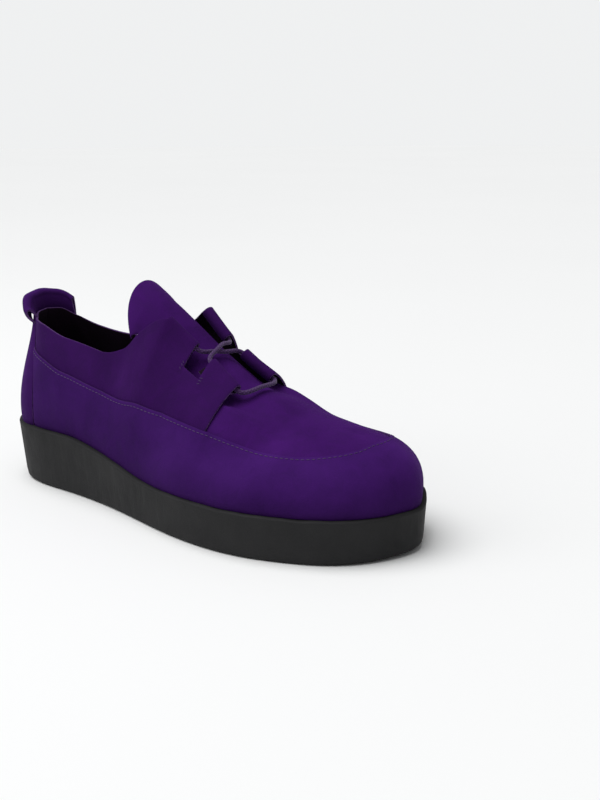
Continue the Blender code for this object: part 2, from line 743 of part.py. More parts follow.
def main():
    for obj in list(bpy.data.objects):
        bpy.data.objects.remove(obj, do_unlink=True)
    collection = bpy.data.collections.new("shoe")
    bpy.context.scene.collection.children.link(collection)
    rim = np.array([p[:2] for p in outline(192, flare, sole_top)])
    middle = (rim.min(axis=0) + rim.max(axis=0)) / 2
    shift = np.array([-middle[0], -middle[1], 0.0])
    suede = make_material("suede", PURPLE, 0.9)
    tongue_suede = make_material("tongue_suede", PURPLE, 0.9)
    panel_suede = make_material("panel_suede", PURPLE, 0.9)
    lining = make_material("lining", DARK_PURPLE, 0.85)
    rubber = make_material("rubber", BLACK_RUBBER, 0.8)
    cord = make_material("cord", LACE_PURPLE, 0.7)
    build_sole(rubber, collection, shift)
    build_insole(lining, collection, shift)
    upper, paths = build_upper(suede, collection, shift)
    build_tongue(tongue_suede, collection, shift)
    build_panel(panel_suede, collection, shift)
    build_lace(cord, collection, paths)


main()
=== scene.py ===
"""The looks of the right suede shoe: its panels, stitches, lace, rubber sole and studio.

Metres, +Z up. The toe points to +X and the outer side of the foot to -Y.
"""

import math

import bmesh
import bpy
import numpy as np
from mathutils import Matrix, Vector


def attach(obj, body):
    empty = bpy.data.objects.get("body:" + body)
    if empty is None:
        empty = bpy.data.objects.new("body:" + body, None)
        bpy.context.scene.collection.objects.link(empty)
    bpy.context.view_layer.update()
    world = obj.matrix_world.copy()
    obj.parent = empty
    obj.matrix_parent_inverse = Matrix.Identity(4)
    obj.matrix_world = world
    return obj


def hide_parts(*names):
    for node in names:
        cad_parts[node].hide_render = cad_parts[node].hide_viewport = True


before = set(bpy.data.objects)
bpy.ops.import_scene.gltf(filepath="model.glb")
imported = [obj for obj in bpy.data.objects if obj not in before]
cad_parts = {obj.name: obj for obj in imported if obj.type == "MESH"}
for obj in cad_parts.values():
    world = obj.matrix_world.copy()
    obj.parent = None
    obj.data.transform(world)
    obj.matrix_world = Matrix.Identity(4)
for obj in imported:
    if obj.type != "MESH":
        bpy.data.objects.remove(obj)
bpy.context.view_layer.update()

# Sizes shared with the solids
SOLE_LENGTH = 0.270
BALL_WIDTH = 0.104
HEEL_HEIGHT = 0.0355
FOREPART_HEIGHT = 0.0235
WEDGE_START = 0.20
WEDGE_END = 0.53
HEEL_FLARE = 0.0032
FOREPART_FLARE = 0.0015
TOE_SPRING = 0.0018
TOE_SPRING_START = 0.86
TREAD_BEVEL = 0.0022
RIM_BEVEL = 0.0010
INSTEP_RISE = 0.0870
HEEL_RIM = 0.0042
FOREPART_RIM = 0.0034
MUDGUARD_STEP = 0.0011
QUARTER_STEP = 0.0014
NOTCH_DEPTH = 0.0130
TUNNEL_RADIUS = 0.0034
FIT_GAP = 0.0003
TONGUE_HALF_WIDTH = 0.0255
INSOLE_THICKNESS = 0.0030
PANEL_THICKNESS = 0.0013
PANEL_SEAT = 0.0008
PANEL_TAB_RISE = 0.0075
PANEL_TAB_ROLL = 0.0021
PANEL_TAB_FLAP = 0.0065
LACE_RADIUS = 0.00120

# Sizes of the finish
VAMP_THICKNESS = 0.0012
QUARTER_THICKNESS = 0.0013
MUDGUARD_THICKNESS = 0.0010
EDGE_ROUND = 0.00022
STITCH_PITCH = 0.0027
STITCH_LENGTH = 0.0021
STITCH_RADIUS = 0.00024
STITCH_SETBACK = 0.0019
RIM_WAVE = 0.00030
TREAD_GROOVE = 0.0009
FRONT_STAND = 0.0007

# The plan of the tread: along is a share of SOLE_LENGTH from the heel, outer and inner are
# shares of BALL_WIDTH out from the shoe's axis.
PLAN_COLUMNS = ("along", "outer", "inner")
PLAN = (
    (0.000, 0.000, 0.000),
    (0.013, 0.130, 0.130),
    (0.048, 0.250, 0.250),
    (0.111, 0.322, 0.317),
    (0.204, 0.346, 0.322),
    (0.315, 0.380, 0.303),
    (0.426, 0.442, 0.303),
    (0.537, 0.514, 0.356),
    (0.637, 0.553, 0.418),
    (0.733, 0.548, 0.442),
    (0.822, 0.490, 0.418),
    (0.896, 0.405, 0.360),
    (0.948, 0.292, 0.274),
    (0.983, 0.155, 0.130),
    (1.000, 0.005, -0.005),
)

# The sections behind the throat, from the feather up to the collar or the throat's edge.
OPEN_COLUMNS = (
    "root", "edge_along", "edge_outer", "edge_inner", "rise_outer", "rise_inner",
    "low_out", "low_up", "high_out", "high_down", "seam", "steps",
)
OPEN_SECTIONS = (
    (0.000, 0.038, 0.000, 0.000, 0.735, 0.735, 0.030, 0.26, 0.048, 0.26, 0.560, 8),
    (0.030, 0.047, 0.084, 0.084, 0.728, 0.725, 0.034, 0.26, 0.048, 0.26, 0.548, 12),
    (0.107, 0.069, 0.148, 0.148, 0.706, 0.672, 0.032, 0.25, 0.055, 0.25, 0.512, 14),
    (0.150, 0.115, 0.212, 0.217, 0.688, 0.592, 0.036, 0.24, 0.060, 0.22, 0.468, 14),
    (0.204, 0.200, 0.240, 0.245, 0.622, 0.552, 0.045, 0.22, 0.060, 0.20, 0.405, 16),
    (0.300, 0.296, 0.238, 0.240, 0.600, 0.585, 0.045, 0.22, 0.070, 0.18, 0.378, 12),
    (0.360, 0.358, 0.225, 0.225, 0.672, 0.672, 0.045, 0.24, 0.090, 0.20, 0.385, 10),
    (0.398, 0.405, 0.205, 0.205, 0.828, 0.815, 0.040, 0.27, 0.110, 0.22, 0.405, 12),
    (0.445, 0.460, 0.178, 0.178, 0.935, 0.935, 0.040, 0.28, 0.140, 0.20, 0.436, 14),
    (0.505, 0.522, 0.150, 0.150, 0.800, 0.800, 0.040, 0.28, 0.140, 0.14, 0.426, 10),
    (0.548, 0.561, 0.150, 0.150, 0.725, 0.725, 0.040, 0.27, 0.140, 0.10, 0.406, 14),
    (0.615, 0.626, 0.163, 0.163, 0.585, 0.585, 0.040, 0.25, 0.140, 0.06, 0.368, 0),
)
PANEL_LAST = 2
TUNNELS = ((8, 9), (10, 11))
NOTCH = (9, 10)

# The sections ahead of the throat, which close over the foot on the ridge.
CLOSED_COLUMNS = (
    "root", "ridge_along", "ridge_side", "rise",
    "low_out", "low_up", "high_out", "high_down", "seam", "steps",
)
CLOSED_SECTIONS = (
    (0.618, 0.633, 0.010, 0.535, 0.040, 0.24, 0.270, 0.000, 0.445, 12),
    (0.675, 0.685, 0.012, 0.498, 0.045, 0.24, 0.270, 0.000, 0.458, 14),
    (0.750, 0.748, 0.018, 0.428, 0.045, 0.24, 0.270, 0.000, 0.484, 14),
    (0.828, 0.798, 0.024, 0.395, 0.045, 0.24, 0.240, 0.000, 0.508, 14),
    (0.896, 0.832, 0.027, 0.380, 0.045, 0.25, 0.200, 0.000, 0.560, 12),
    (0.948, 0.852, 0.029, 0.370, 0.045, 0.26, 0.190, 0.000, 0.632, 10),
    (0.983, 0.863, 0.029, 0.365, 0.045, 0.27, 0.190, 0.000, 0.720, 8),
    (1.000, 0.868, 0.029, 0.363, 0.045, 0.27, 0.190, 0.000, 0.750, 0),
)

# The tongue's centre line, its arch and its width.
TONGUE_COLUMNS = ("along", "side", "rise", "arch", "width")
TONGUE = (
    (0.632, 0.000, 0.535, 0.36, 0.86),
    (0.595, 0.000, 0.598, 0.38, 0.86),
    (0.560, 0.000, 0.662, 0.40, 0.86),
    (0.525, 0.000, 0.731, 0.42, 0.85),
    (0.463, 0.000, 0.880, 0.52, 0.74),
    (0.400, 0.004, 0.985, 0.66, 0.76),
    (0.366, 0.016, 1.022, 0.80, 0.90),
    (0.332, 0.030, 1.050, 0.90, 1.01),
)

# Mesh rings up a section: feather to seam, seam to notch, notch to edge, edge to ridge
LOW, MIDDLE, HIGH, CROWN = 16, 12, 9, 16
SEAM_RING = LOW
NOTCH_RING = LOW + MIDDLE
EDGE_RING = LOW + MIDDLE + HIGH
RIDGE_RING = EDGE_RING + CROWN

# Soft troughs and swells in the suede: where, along which way, how long, how wide and how deep
FOLD_COLUMNS = ("x", "y", "z", "way_x", "way_y", "way_z", "length", "width", "depth")
FOLDS = (
    (-0.070, -0.045, 0.060, 1.0, 0.0, -0.15, 0.030, 0.0080, 0.0006),
    (-0.020, -0.047, 0.046, 1.0, -0.1, -0.45, 0.022, 0.0070, -0.0007),
    (0.010, -0.050, 0.050, 0.8, -0.1, 0.70, 0.016, 0.0060, -0.0006),
    (0.052, -0.048, 0.038, 1.0, 0.0, -0.10, 0.024, 0.0060, 0.0005),
)


def column(table, columns, name):
    """One named column of a table, as an array."""
    return np.array([row[columns.index(name)] for row in table], float)


def smooth_step(low, high, value):
    """0 below low, 1 above high, and an even S-curve between."""
    share = np.clip((value - low) / (high - low), 0.0, 1.0)
    return share * share * (3.0 - 2.0 * share)


def closed_spline(knots, values, period, at):
    """A smooth closed curve through values at knots, read at the places in at."""
    count = len(knots)
    steps = np.diff(np.append(knots, knots[0] + period))
    system = np.zeros((count, count))
    right = np.zeros((count, values.shape[1]))
    for i in range(count):
        before, after = steps[i - 1], steps[i]
        previous, following = (i - 1) % count, (i + 1) % count
        system[i, previous] += after
        system[i, i] += 2.0 * (before + after)
        system[i, following] += before
        right[i] = 3.0 * (
            after / before * (values[i] - values[previous])
            + before / after * (values[following] - values[i])
        )
    slopes = np.linalg.solve(system, right)
    place = (np.asarray(at, float) - knots[0]) % period + knots[0]
    index = np.clip(np.searchsorted(knots, place, side="right") - 1, 0, count - 1)
    step = steps[index][:, None]
    share = ((place - knots[index]) / steps[index])[:, None]
    start, end = values[index], values[(index + 1) % count]
    leave, arrive = slopes[index] * step, slopes[(index + 1) % count] * step
    return (
        start * (1 + 2 * share) * (1 - share) ** 2
        + leave * share * (1 - share) ** 2
        + end * share**2 * (3 - 2 * share)
        + arrive * share**2 * (share - 1)
    )


def eased(knots, values, at):
    """A curve through values at knots that never swings past them."""
    knots, values = np.asarray(knots, float), np.asarray(values, float)
    steps = np.diff(knots)
    rates = np.diff(values) / steps
    slopes = np.zeros(len(knots))
    slopes[0], slopes[-1] = rates[0], rates[-1]
    for i in range(1, len(knots) - 1):
        if rates[i - 1] * rates[i] > 0:
            slopes[i] = 2 * rates[i - 1] * rates[i] / (rates[i - 1] + rates[i])
    place = np.clip(np.asarray(at, float), knots[0], knots[-1])
    index = np.clip(np.searchsorted(knots, place, side="right") - 1, 0, len(steps) - 1)
    step = steps[index]
    share = (place - knots[index]) / step
    return (
        values[index] * (1 + 2 * share) * (1 - share) ** 2
        + slopes[index] * step * share * (1 - share) ** 2
        + values[index + 1] * share**2 * (3 - 2 * share)
        + slopes[index + 1] * step * share**2 * (share - 1)
    )


def plan_knots():
    """The plan's points round the shoe and their stations: 0 heel, 1 toe, 2 the heel again."""
    along = column(PLAN, PLAN_COLUMNS, "along") * SOLE_LENGTH
    outer = -column(PLAN, PLAN_COLUMNS, "outer") * BALL_WIDTH
    inner = column(PLAN, PLAN_COLUMNS, "inner") * BALL_WIDTH
    gaps = np.hypot(np.diff(along), np.diff(outer))
    stations = np.append(0.0, np.cumsum(gaps)) / gaps.sum()
    points = [(x, y) for x, y in zip(along, outer)]
    points += [(x, y) for x, y in zip(along[-2:0:-1], inner[-2:0:-1])]
    knots = np.append(stations, 2.0 - stations[-2:0:-1])
    return knots, np.array(points)


PLAN_STATIONS, PLAN_POINTS = plan_knots()


def plan_point(station, grow=0.0):
    """A point of the plan, moved out from it by grow."""
    near = 1e-4
    read = np.atleast_1d(station)
    here = closed_spline(PLAN_STATIONS, PLAN_POINTS, 2.0, read)
    ahead = closed_spline(PLAN_STATIONS, PLAN_POINTS, 2.0, read + near)
    behind = closed_spline(PLAN_STATIONS, PLAN_POINTS, 2.0, read - near)
    way = ahead - behind
    out = np.stack([way[:, 1], -way[:, 0]], axis=1) / np.linalg.norm(way, axis=1)[:, None]
    return here + out * np.reshape(grow, (-1, 1))


def station_of(along):
    """The station on the outer side of a share of SOLE_LENGTH."""
    outer = column(PLAN, PLAN_COLUMNS, "along")
    return float(eased(outer, PLAN_STATIONS[: len(outer)], along))


def sole_top(x):
    """Height of the sole's top face at a distance from the heel."""
    share = smooth_step(WEDGE_START, WEDGE_END, x / SOLE_LENGTH)
    return HEEL_HEIGHT + (FOREPART_HEIGHT - HEEL_HEIGHT) * share


def tread_height(x):
    """Height of the tread, flat but for the lift at the toe."""
    lift = np.clip((x / SOLE_LENGTH - TOE_SPRING_START) / (1.0 - TOE_SPRING_START), 0, 1)
    return TOE_SPRING * lift * lift


def flare(x):
    """How far the sole's top edge stands out past the tread."""
    share = smooth_step(WEDGE_START, WEDGE_END, x / SOLE_LENGTH)
    return HEEL_FLARE + (FOREPART_FLARE - HEEL_FLARE) * share


def upper_inset(x):
    """How far the upper's foot stands in from the sole's top edge."""
    share = smooth_step(WEDGE_START, WEDGE_END, x / SOLE_LENGTH)
    return HEEL_RIM + (FOREPART_RIM - HEEL_RIM) * share


def plan_ring(count, grow):
    """Plan points at count even stations, moved out by grow, and their stations."""
    stations = 2.0 * np.arange(count) / count
    xs = plan_point(stations)[:, 0]
    return plan_point(stations, grow(xs)), stations


def frame_shift():
    """From the heel's frame to the part's frame, whose origin is under the shoe's middle."""
    rim, stations = plan_ring(192, flare)
    middle = (rim.min(axis=0) + rim.max(axis=0)) / 2
    return np.array([-middle[0], -middle[1], 0.0])


SHIFT = frame_shift()


def feather_point(station):
    """Where the upper meets the sole, as (x, y, z) from the heel."""
    x = plan_point(station)[0, 0]
    point = plan_point(station, flare(x) - upper_inset(x))[0]
    return np.array([point[0], point[1], sole_top(point[0]) + FIT_GAP])


def rows_of(table, columns):
    """The stations of the mesh rows, and for each its fraction of the way down the table."""
    roots = [station_of(value) for value in column(table, columns, "root")]
    steps = column(table, columns, "steps").astype(int)
    places, stations = [], []
    for i in range(len(table) - 1):
        for k in range(steps[i]):
            share = k / steps[i]
            places.append(i + share)
            stations.append(roots[i] + (roots[i + 1] - roots[i]) * share)
    return np.array(places + [len(table) - 1.0]), stations + [roots[-1]]


def read_row(table, columns, place, read=None):
    """The table's values at a fractional row, eased between the rows unless read is given."""
    knots = np.arange(len(table), dtype=float)
    names = [name for name in columns if name != "steps"]
    if read is None:
        return {name: float(eased(knots, column(table, columns, name), place)) for name in names}
    return {name: float(read(place, knots, column(table, columns, name))) for name in names}


def section_curve(root, edge, row):
    """The four control points of a section, in the upright plane of its root and its edge."""
    out = root[:2] - edge[:2]
    out = out / np.linalg.norm(out)
    low = root + INSTEP_RISE * np.array([*(out * row["low_out"]), row["low_up"]])
    high = edge + INSTEP_RISE * np.array([*(out * row["high_out"]), -row["high_down"]])
    return root, low, high, edge


def on_curve(curve, share):
    """Points of a section's curve at shares of its parameter."""
    a, b, c, d = curve
    share = np.asarray(share, float)[..., None]
    rest = 1.0 - share
    return a * rest**3 + 3 * b * rest**2 * share + 3 * c * rest * share**2 + d * share**3


def steps_between(start, end, count):
    """Even shares after start up to end."""
    return start + (end - start) * np.arange(1, count + 1) / count


def notch_share(curve):
    """The parameter at which the curve still has NOTCH_DEPTH to run to its end."""
    shares = np.linspace(1.0, 0.5, 60)
    points = on_curve(curve, shares)
    runs = np.append(0.0, np.cumsum(np.linalg.norm(np.diff(points, axis=0), axis=1)))
    return float(np.interp(NOTCH_DEPTH, runs, shares))


def share_at_height(curve, height):
    """The parameter at which the curve has risen by height over its start."""
    shares = np.linspace(0.0, 1.0, 80)
    rises = on_curve(curve, shares)[:, 2] - curve[0][2]
    return float(np.interp(height, np.maximum.accumulate(rises), shares))


def open_points(place, station, side):
    """The points of a collar or throat section: side is -1 outside, 1 inside."""
    straight = np.interp if place >= TUNNELS[0][0] else None
    row = read_row(OPEN_SECTIONS, OPEN_COLUMNS, place, straight)
    name = "outer" if side < 0 else "inner"
    root = feather_point(station if side < 0 else 2.0 - station)
    top = sole_top(root[0]) + row["rise_" + name] * INSTEP_RISE
    reach = side * row["edge_" + name] * BALL_WIDTH
    edge = np.array([row["edge_along"] * SOLE_LENGTH, reach, top])
    curve = section_curve(root, edge, row)
    height = min(row["seam"], row["rise_" + name] - 0.13)
    seam = share_at_height(curve, height * INSTEP_RISE)
    notch = max(notch_share(curve), seam + 0.45 * (1.0 - seam))
    shares = np.concatenate([
        [0.0],
        steps_between(0.0, seam, LOW),
        steps_between(seam, notch, MIDDLE),
        steps_between(notch, 1.0, HIGH),
    ])
    return on_curve(curve, shares)


def closed_points(place, station, side):
    """The points of a section ahead of the throat, which ends on the ridge."""
    row = read_row(CLOSED_SECTIONS, CLOSED_COLUMNS, place)
    root = feather_point(station if side < 0 else 2.0 - station)
    outer_root = feather_point(station)
    top = sole_top(outer_root[0]) + row["rise"] * INSTEP_RISE
    ridge = np.array([row["ridge_along"] * SOLE_LENGTH, row["ridge_side"] * BALL_WIDTH, top])
    curve = section_curve(root, ridge, row)
    seam = row["seam"]
    rest = (1.0 - seam) * 0.55
    shares = np.concatenate([
        [0.0],
        steps_between(0.0, seam, LOW),
        steps_between(seam, seam + rest * 0.55, MIDDLE),
        steps_between(seam + rest * 0.55, seam + rest, HIGH),
        steps_between(seam + rest, 1.0, CROWN),
    ])
    return on_curve(curve, shares)


def grid_normals(grid, side):
    """Outward normals of a grid of rows from heel to toe and rings from the feather up."""
    normals = np.cross(np.gradient(grid, axis=0), np.gradient(grid, axis=1)) * -side
    return normals / np.maximum(np.linalg.norm(normals, axis=2, keepdims=True), 1e-12)


class Side:
    """One side of the shoe's skin: the open rows, the closed rows and their normals."""

    def __init__(self, side):
        self.side = side
        self.places, stations = rows_of(OPEN_SECTIONS, OPEN_COLUMNS)
        self.back = np.array([open_points(p, s, side) for p, s in zip(self.places, stations)])
        self.shut, stations = rows_of(CLOSED_SECTIONS, CLOSED_COLUMNS)
        self.front = np.array([closed_points(p, s, side) for p, s in zip(self.shut, stations)])
        match = np.zeros((RIDGE_RING + 1, 3))
        top = NOTCH_RING + 1
        match[:top] = self.back[-1, :top] - self.front[0, :top]
        match[:, 0] = 0.0
        fade = np.interp(np.arange(1, 13), (0, 3, 6, 9, 12), (1.0, 0.6, 0.25, 0.08, 0.0))
        match[top : top + 12] = match[NOTCH_RING] * fade[:, None]
        self.front += match * (1.0 - smooth_step(0.0, 7.0 / 3.0, self.shut))[:, None, None]
        if side > 0:
            self.back[0][:, 1] = 0.0
        self.back_out = grid_normals(self.back, side)
        self.back_out[0] *= np.array([1.0, 0.0, 1.0])
        self.back_out[0] /= np.linalg.norm(self.back_out[0], axis=1, keepdims=True)
        self.front_out = grid_normals(self.front, side)


SIDES = {side: Side(side) for side in (-1, 1)}
RIDGE = (SIDES[-1].front[:, RIDGE_RING] + SIDES[1].front[:, RIDGE_RING]) / 2
TOE_LINE = (SIDES[-1].front[-1] + SIDES[1].front[-1]) / 2
for half in SIDES.values():
    half.front[:, RIDGE_RING] = RIDGE
    half.front[-1] = TOE_LINE
    half.back[0][:, 1] = 0.0


def suede_relief(points):
    """How far the suede swells or sinks at points, from the listed folds."""
    total = np.zeros(points.shape[:-1])
    for x, y, z, way_x, way_y, way_z, length, width, depth in FOLDS:
        way = np.array([way_x, way_y, way_z])
        way /= np.linalg.norm(way)
        offset = points + SHIFT - np.array([x, y, z])
        run = offset @ way
        across = np.linalg.norm(offset - run[..., None] * way, axis=-1)
        total += depth * np.exp(-((run / length) ** 2) - (across / width) ** 2)
    return total


def sheet(points, outward=None, keep=None):
    """A bmesh sheet through a grid of points, with its own UV map, its faces pointing outward."""
    points = np.asarray(points) + SHIFT
    rows, rings = points.shape[:2]
    bm = bmesh.new()
    bm.loops.layers.uv.new("UVMap")
    bmesh.ops.create_grid(
        bm, x_segments=rows - 1, y_segments=rings - 1, size=1.0, calc_uvs=True
    )
    for face in bm.faces:
        middle = face.calc_center_median()
        face.tag = False
        if keep is not None:
            i = int((middle.x + 1.0) / 2.0 * (rows - 1))
            j = int((middle.y + 1.0) / 2.0 * (rings - 1))
            face.tag = not keep(i, j)
    for vert in bm.verts:
        i = round((vert.co.x + 1.0) / 2.0 * (rows - 1))
        j = round((vert.co.y + 1.0) / 2.0 * (rings - 1))
        vert.co = points[i, j]
        if outward is not None:
            vert.normal = outward[i, j]
    if outward is not None:
        lean = 0.0
        for face in bm.faces:
            want = Vector((0.0, 0.0, 0.0))
            for vert in face.verts:
                want += vert.normal
            corners = [vert.co for vert in face.verts]
            turn = (corners[2] - corners[0]).cross(corners[3] - corners[1])
            lean += want.dot(turn)
        if lean < 0:
            bmesh.ops.reverse_faces(bm, faces=bm.faces)
    dropped = [face for face in bm.faces if face.tag]
    if dropped:
        bmesh.ops.delete(bm, geom=dropped, context="FACES")
    loose = [vert for vert in bm.verts if not vert.link_faces]
    if loose:
        bmesh.ops.delete(bm, geom=loose, context="VERTS")
    bm.normal_update()
    return bm


def place_piece(name, bm, finishes, nodes=()):
    """The mesh becomes a piece that rides with the shoe and takes a slot's finish."""
    mesh = bpy.data.meshes.new(name)
    bm.to_mesh(mesh)
    bm.free()
    for finish in finishes:
        mesh.materials.append(finish)
    for polygon in mesh.polygons:
        polygon.use_smooth = True
    piece = bpy.data.objects.new(name, mesh)
    bpy.context.scene.collection.objects.link(piece)
    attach(piece, "root")
    if nodes:
        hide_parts(*nodes)
    return piece


def give_wall(piece, thickness, offset=-1.0, inner=1, rim=2, rounding=EDGE_ROUND):
    """A sheet gets its leather thickness, its flesh side, its cut edge and softened corners."""
    wall = piece.modifiers.new("Wall", "SOLIDIFY")
    wall.thickness = thickness
    wall.offset = offset
    wall.use_even_offset = True
    wall.use_rim = True
    wall.material_offset = inner
    wall.material_offset_rim = rim
    if rounding:
        bevel = piece.modifiers.new("Soft edges", "BEVEL")
        bevel.width = rounding
        bevel.segments = 2
        bevel.limit_method = "ANGLE"
        bevel.angle_limit = math.radians(55)
        bevel.harden_normals = False
    return wall


# Finishes
def add_node(tree, kind, inputs=None, **settings):
    """One shader node, its settings, and its inputs as values or as sockets to link."""
    made = tree.nodes.new(kind)
    for key, value in settings.items():
        setattr(made, key, value)
    for key, value in (inputs or {}).items():
        if isinstance(value, bpy.types.NodeSocket):
            tree.links.new(value, made.inputs[key])
        else:
            made.inputs[key].default_value = value
    return made


def noise(tree, vector, scale, detail=3.0, roughness=0.55, distortion=0.0):
    return add_node(tree, "ShaderNodeTexNoise", {
        "Vector": vector, "Scale": scale, "Detail": detail,
        "Roughness": roughness, "Distortion": distortion,
    }).outputs["Fac"]


def maths(tree, operation, first, second, clamp=False):
    return add_node(
        tree, "ShaderNodeMath", {0: first, 1: second}, operation=operation, use_clamp=clamp
    ).outputs[0]


def remap(tree, value, low, high, to_low, to_high):
    return add_node(tree, "ShaderNodeMapRange", {
        "Value": value, "From Min": low, "From Max": high, "To Min": to_low, "To Max": to_high,
    }).outputs["Result"]


def blend_colors(tree, factor, first, second):
    made = add_node(tree, "ShaderNodeMix", data_type="RGBA")
    for index, value in ((0, factor), (6, first), (7, second)):
        if isinstance(value, bpy.types.NodeSocket):
            tree.links.new(value, made.inputs[index])
        elif index == 0:
            made.inputs[index].default_value = value
        else:
            made.inputs[index].default_value = (*value, 1.0)
    return made.outputs[2]


def ramp(tree, factor, stops):
    made = add_node(tree, "ShaderNodeValToRGB", {"Fac": factor})
    band = made.color_ramp
    while len(band.elements) < len(stops):
        band.elements.new(0.5)
    for element, (position, color) in zip(band.elements, stops):
        element.position = position
        element.color = (*color, 1.0)
    return made.outputs["Color"]


def bump(tree, height, strength, distance, below=None):
    inputs = {"Height": height, "Strength": strength, "Distance": distance}
    if below is not None:
        inputs["Normal"] = below
    return add_node(tree, "ShaderNodeBump", inputs).outputs["Normal"]


def new_finish(name):
    finish = bpy.data.materials.new(name)
    finish.use_nodes = True
    tree = finish.node_tree
    shader = tree.nodes["Principled BSDF"]
    return finish, tree, shader


def suede(name, dark, middle, light, sheen=0.10, nap=0.5):
    """Brushed suede: patches of nap laid different ways over a fine fibrous grain, with faces that look
    up painted lighter as painted top light.
    """
    finish, tree, shader = new_finish(name)
    place = add_node(tree, "ShaderNodeTexCoord").outputs["Object"]
    patches = noise(tree, place, 26.0, 2.0, 0.5, 0.4)
    strokes = noise(tree, place, 130.0, 4.0, 0.6, 0.8)
    fibres = noise(tree, place, 1700.0, 3.0, 0.7)
    tone = maths(tree, "MULTIPLY", patches, 0.55)
    tone = maths(tree, "ADD", tone, maths(tree, "MULTIPLY", strokes, 0.28))
    tone = maths(tree, "ADD", tone, maths(tree, "MULTIPLY", fibres, 0.17))
    color = ramp(tree, tone, ((0.34, dark), (0.50, middle), (0.68, light)))
    # Painted top light: the colour is multiplied by 0.80 on faces that look sideways or down, rising to
    # 1.45 on faces that look up, so tops read lighter as if lit from above.
    facing = add_node(tree, "ShaderNodeNewGeometry").outputs["Normal"]
    rise = add_node(tree, "ShaderNodeSeparateXYZ", {"Vector": facing}).outputs["Z"]
    painted_top_light = remap(tree, rise, -0.1, 0.9, 0.80, 1.45)
    color = add_node(
        tree, "ShaderNodeVectorMath", {0: color, 1: painted_top_light}, operation="MULTIPLY"
    ).outputs["Vector"]
    tree.links.new(color, shader.inputs["Base Color"])
    rough = remap(tree, strokes, 0.3, 0.7, 0.82, 0.97)
    tree.links.new(rough, shader.inputs["Roughness"])
    shader.inputs["Specular IOR Level"].default_value = 0.07
    shader.inputs["Sheen Weight"].default_value = sheen
    shader.inputs["Sheen Roughness"].default_value = 0.38
    shader.inputs["Sheen Tint"].default_value = (0.40, 0.10, 0.80, 1.0)
    base = bump(tree, strokes, 0.25, 0.0012)
    grain = bump(tree, fibres, nap, 0.00028, base)
    tree.links.new(grain, shader.inputs["Normal"])
    return finish


def cut_edge(name, dark, light):
    """The raw edge of the leather: pale split fibres, open and uneven."""
    finish, tree, shader = new_finish(name)
    place = add_node(tree, "ShaderNodeTexCoord").outputs["Object"]
    coarse = noise(tree, place, 420.0, 3.0, 0.6)
    fine = noise(tree, place, 2600.0, 2.0, 0.6)
    tone = maths(tree, "ADD", maths(tree, "MULTIPLY", coarse, 0.6), maths(tree, "MULTIPLY", fine, 0.4))
    color = ramp(tree, tone, ((0.36, dark), (0.62, light)))
    tree.links.new(color, shader.inputs["Base Color"])
    shader.inputs["Roughness"].default_value = 0.95
    shader.inputs["Specular IOR Level"].default_value = 0.15
    tree.links.new(bump(tree, fine, 0.6, 0.0003), shader.inputs["Normal"])
    return finish


def flesh_side(name, dark, light):
    """The dark inner side of the leather, with a short matt nap."""
    finish, tree, shader = new_finish(name)
    place = add_node(tree, "ShaderNodeTexCoord").outputs["Object"]
    cloud = noise(tree, place, 60.0, 3.0)
    fine = noise(tree, place, 1500.0, 3.0, 0.65)
    tone = maths(tree, "ADD", maths(tree, "MULTIPLY", cloud, 0.6), maths(tree, "MULTIPLY", fine, 0.4))
    color = ramp(tree, tone, ((0.38, dark), (0.62, light)))
    tree.links.new(color, shader.inputs["Base Color"])
    shader.inputs["Roughness"].default_value = 0.92
    shader.inputs["Specular IOR Level"].default_value = 0.18
    tree.links.new(bump(tree, fine, 0.4, 0.00025), shader.inputs["Normal"])
    return finish


def crepe_rubber(name, dark, light, smear):
    """Trimmed crepe rubber: a matt, finely pitted wall with faint marks of the trimming knife."""
    finish, tree, shader = new_finish(name)
    place = add_node(tree, "ShaderNodeTexCoord").outputs["Object"]
    drawn = add_node(tree, "ShaderNodeMapping", {"Vector": place, "Scale": (1.0, 1.0, 0.28)})
    marks = noise(tree, drawn.outputs["Vector"], 240.0, 4.0, 0.6, 0.5)
    cloud = noise(tree, place, 38.0, 3.0, 0.5)
    pits = noise(tree, place, 1900.0, 3.0, 0.65)
    grains = add_node(tree, "ShaderNodeTexVoronoi", {"Vector": place, "Scale": 1150.0})
    tone = maths(tree, "MULTIPLY", marks, 0.40)
    tone = maths(tree, "ADD", tone, maths(tree, "MULTIPLY", cloud, 0.42))
    tone = maths(tree, "ADD", tone, maths(tree, "MULTIPLY", pits, 0.18))
    color = ramp(tree, tone, ((0.34, dark), (0.52, light), (0.70, smear)))
    tree.links.new(color, shader.inputs["Base Color"])
    tree.links.new(remap(tree, marks, 0.3, 0.7, 0.62, 0.84), shader.inputs["Roughness"])
    shader.inputs["Specular IOR Level"].default_value = 0.22
    base = bump(tree, marks, 0.22, 0.0008)
    base = bump(tree, grains.outputs["Distance"], 0.30, 0.00016, base)
    tree.links.new(bump(tree, pits, 0.30, 0.00018, base), shader.inputs["Normal"])
    return finish


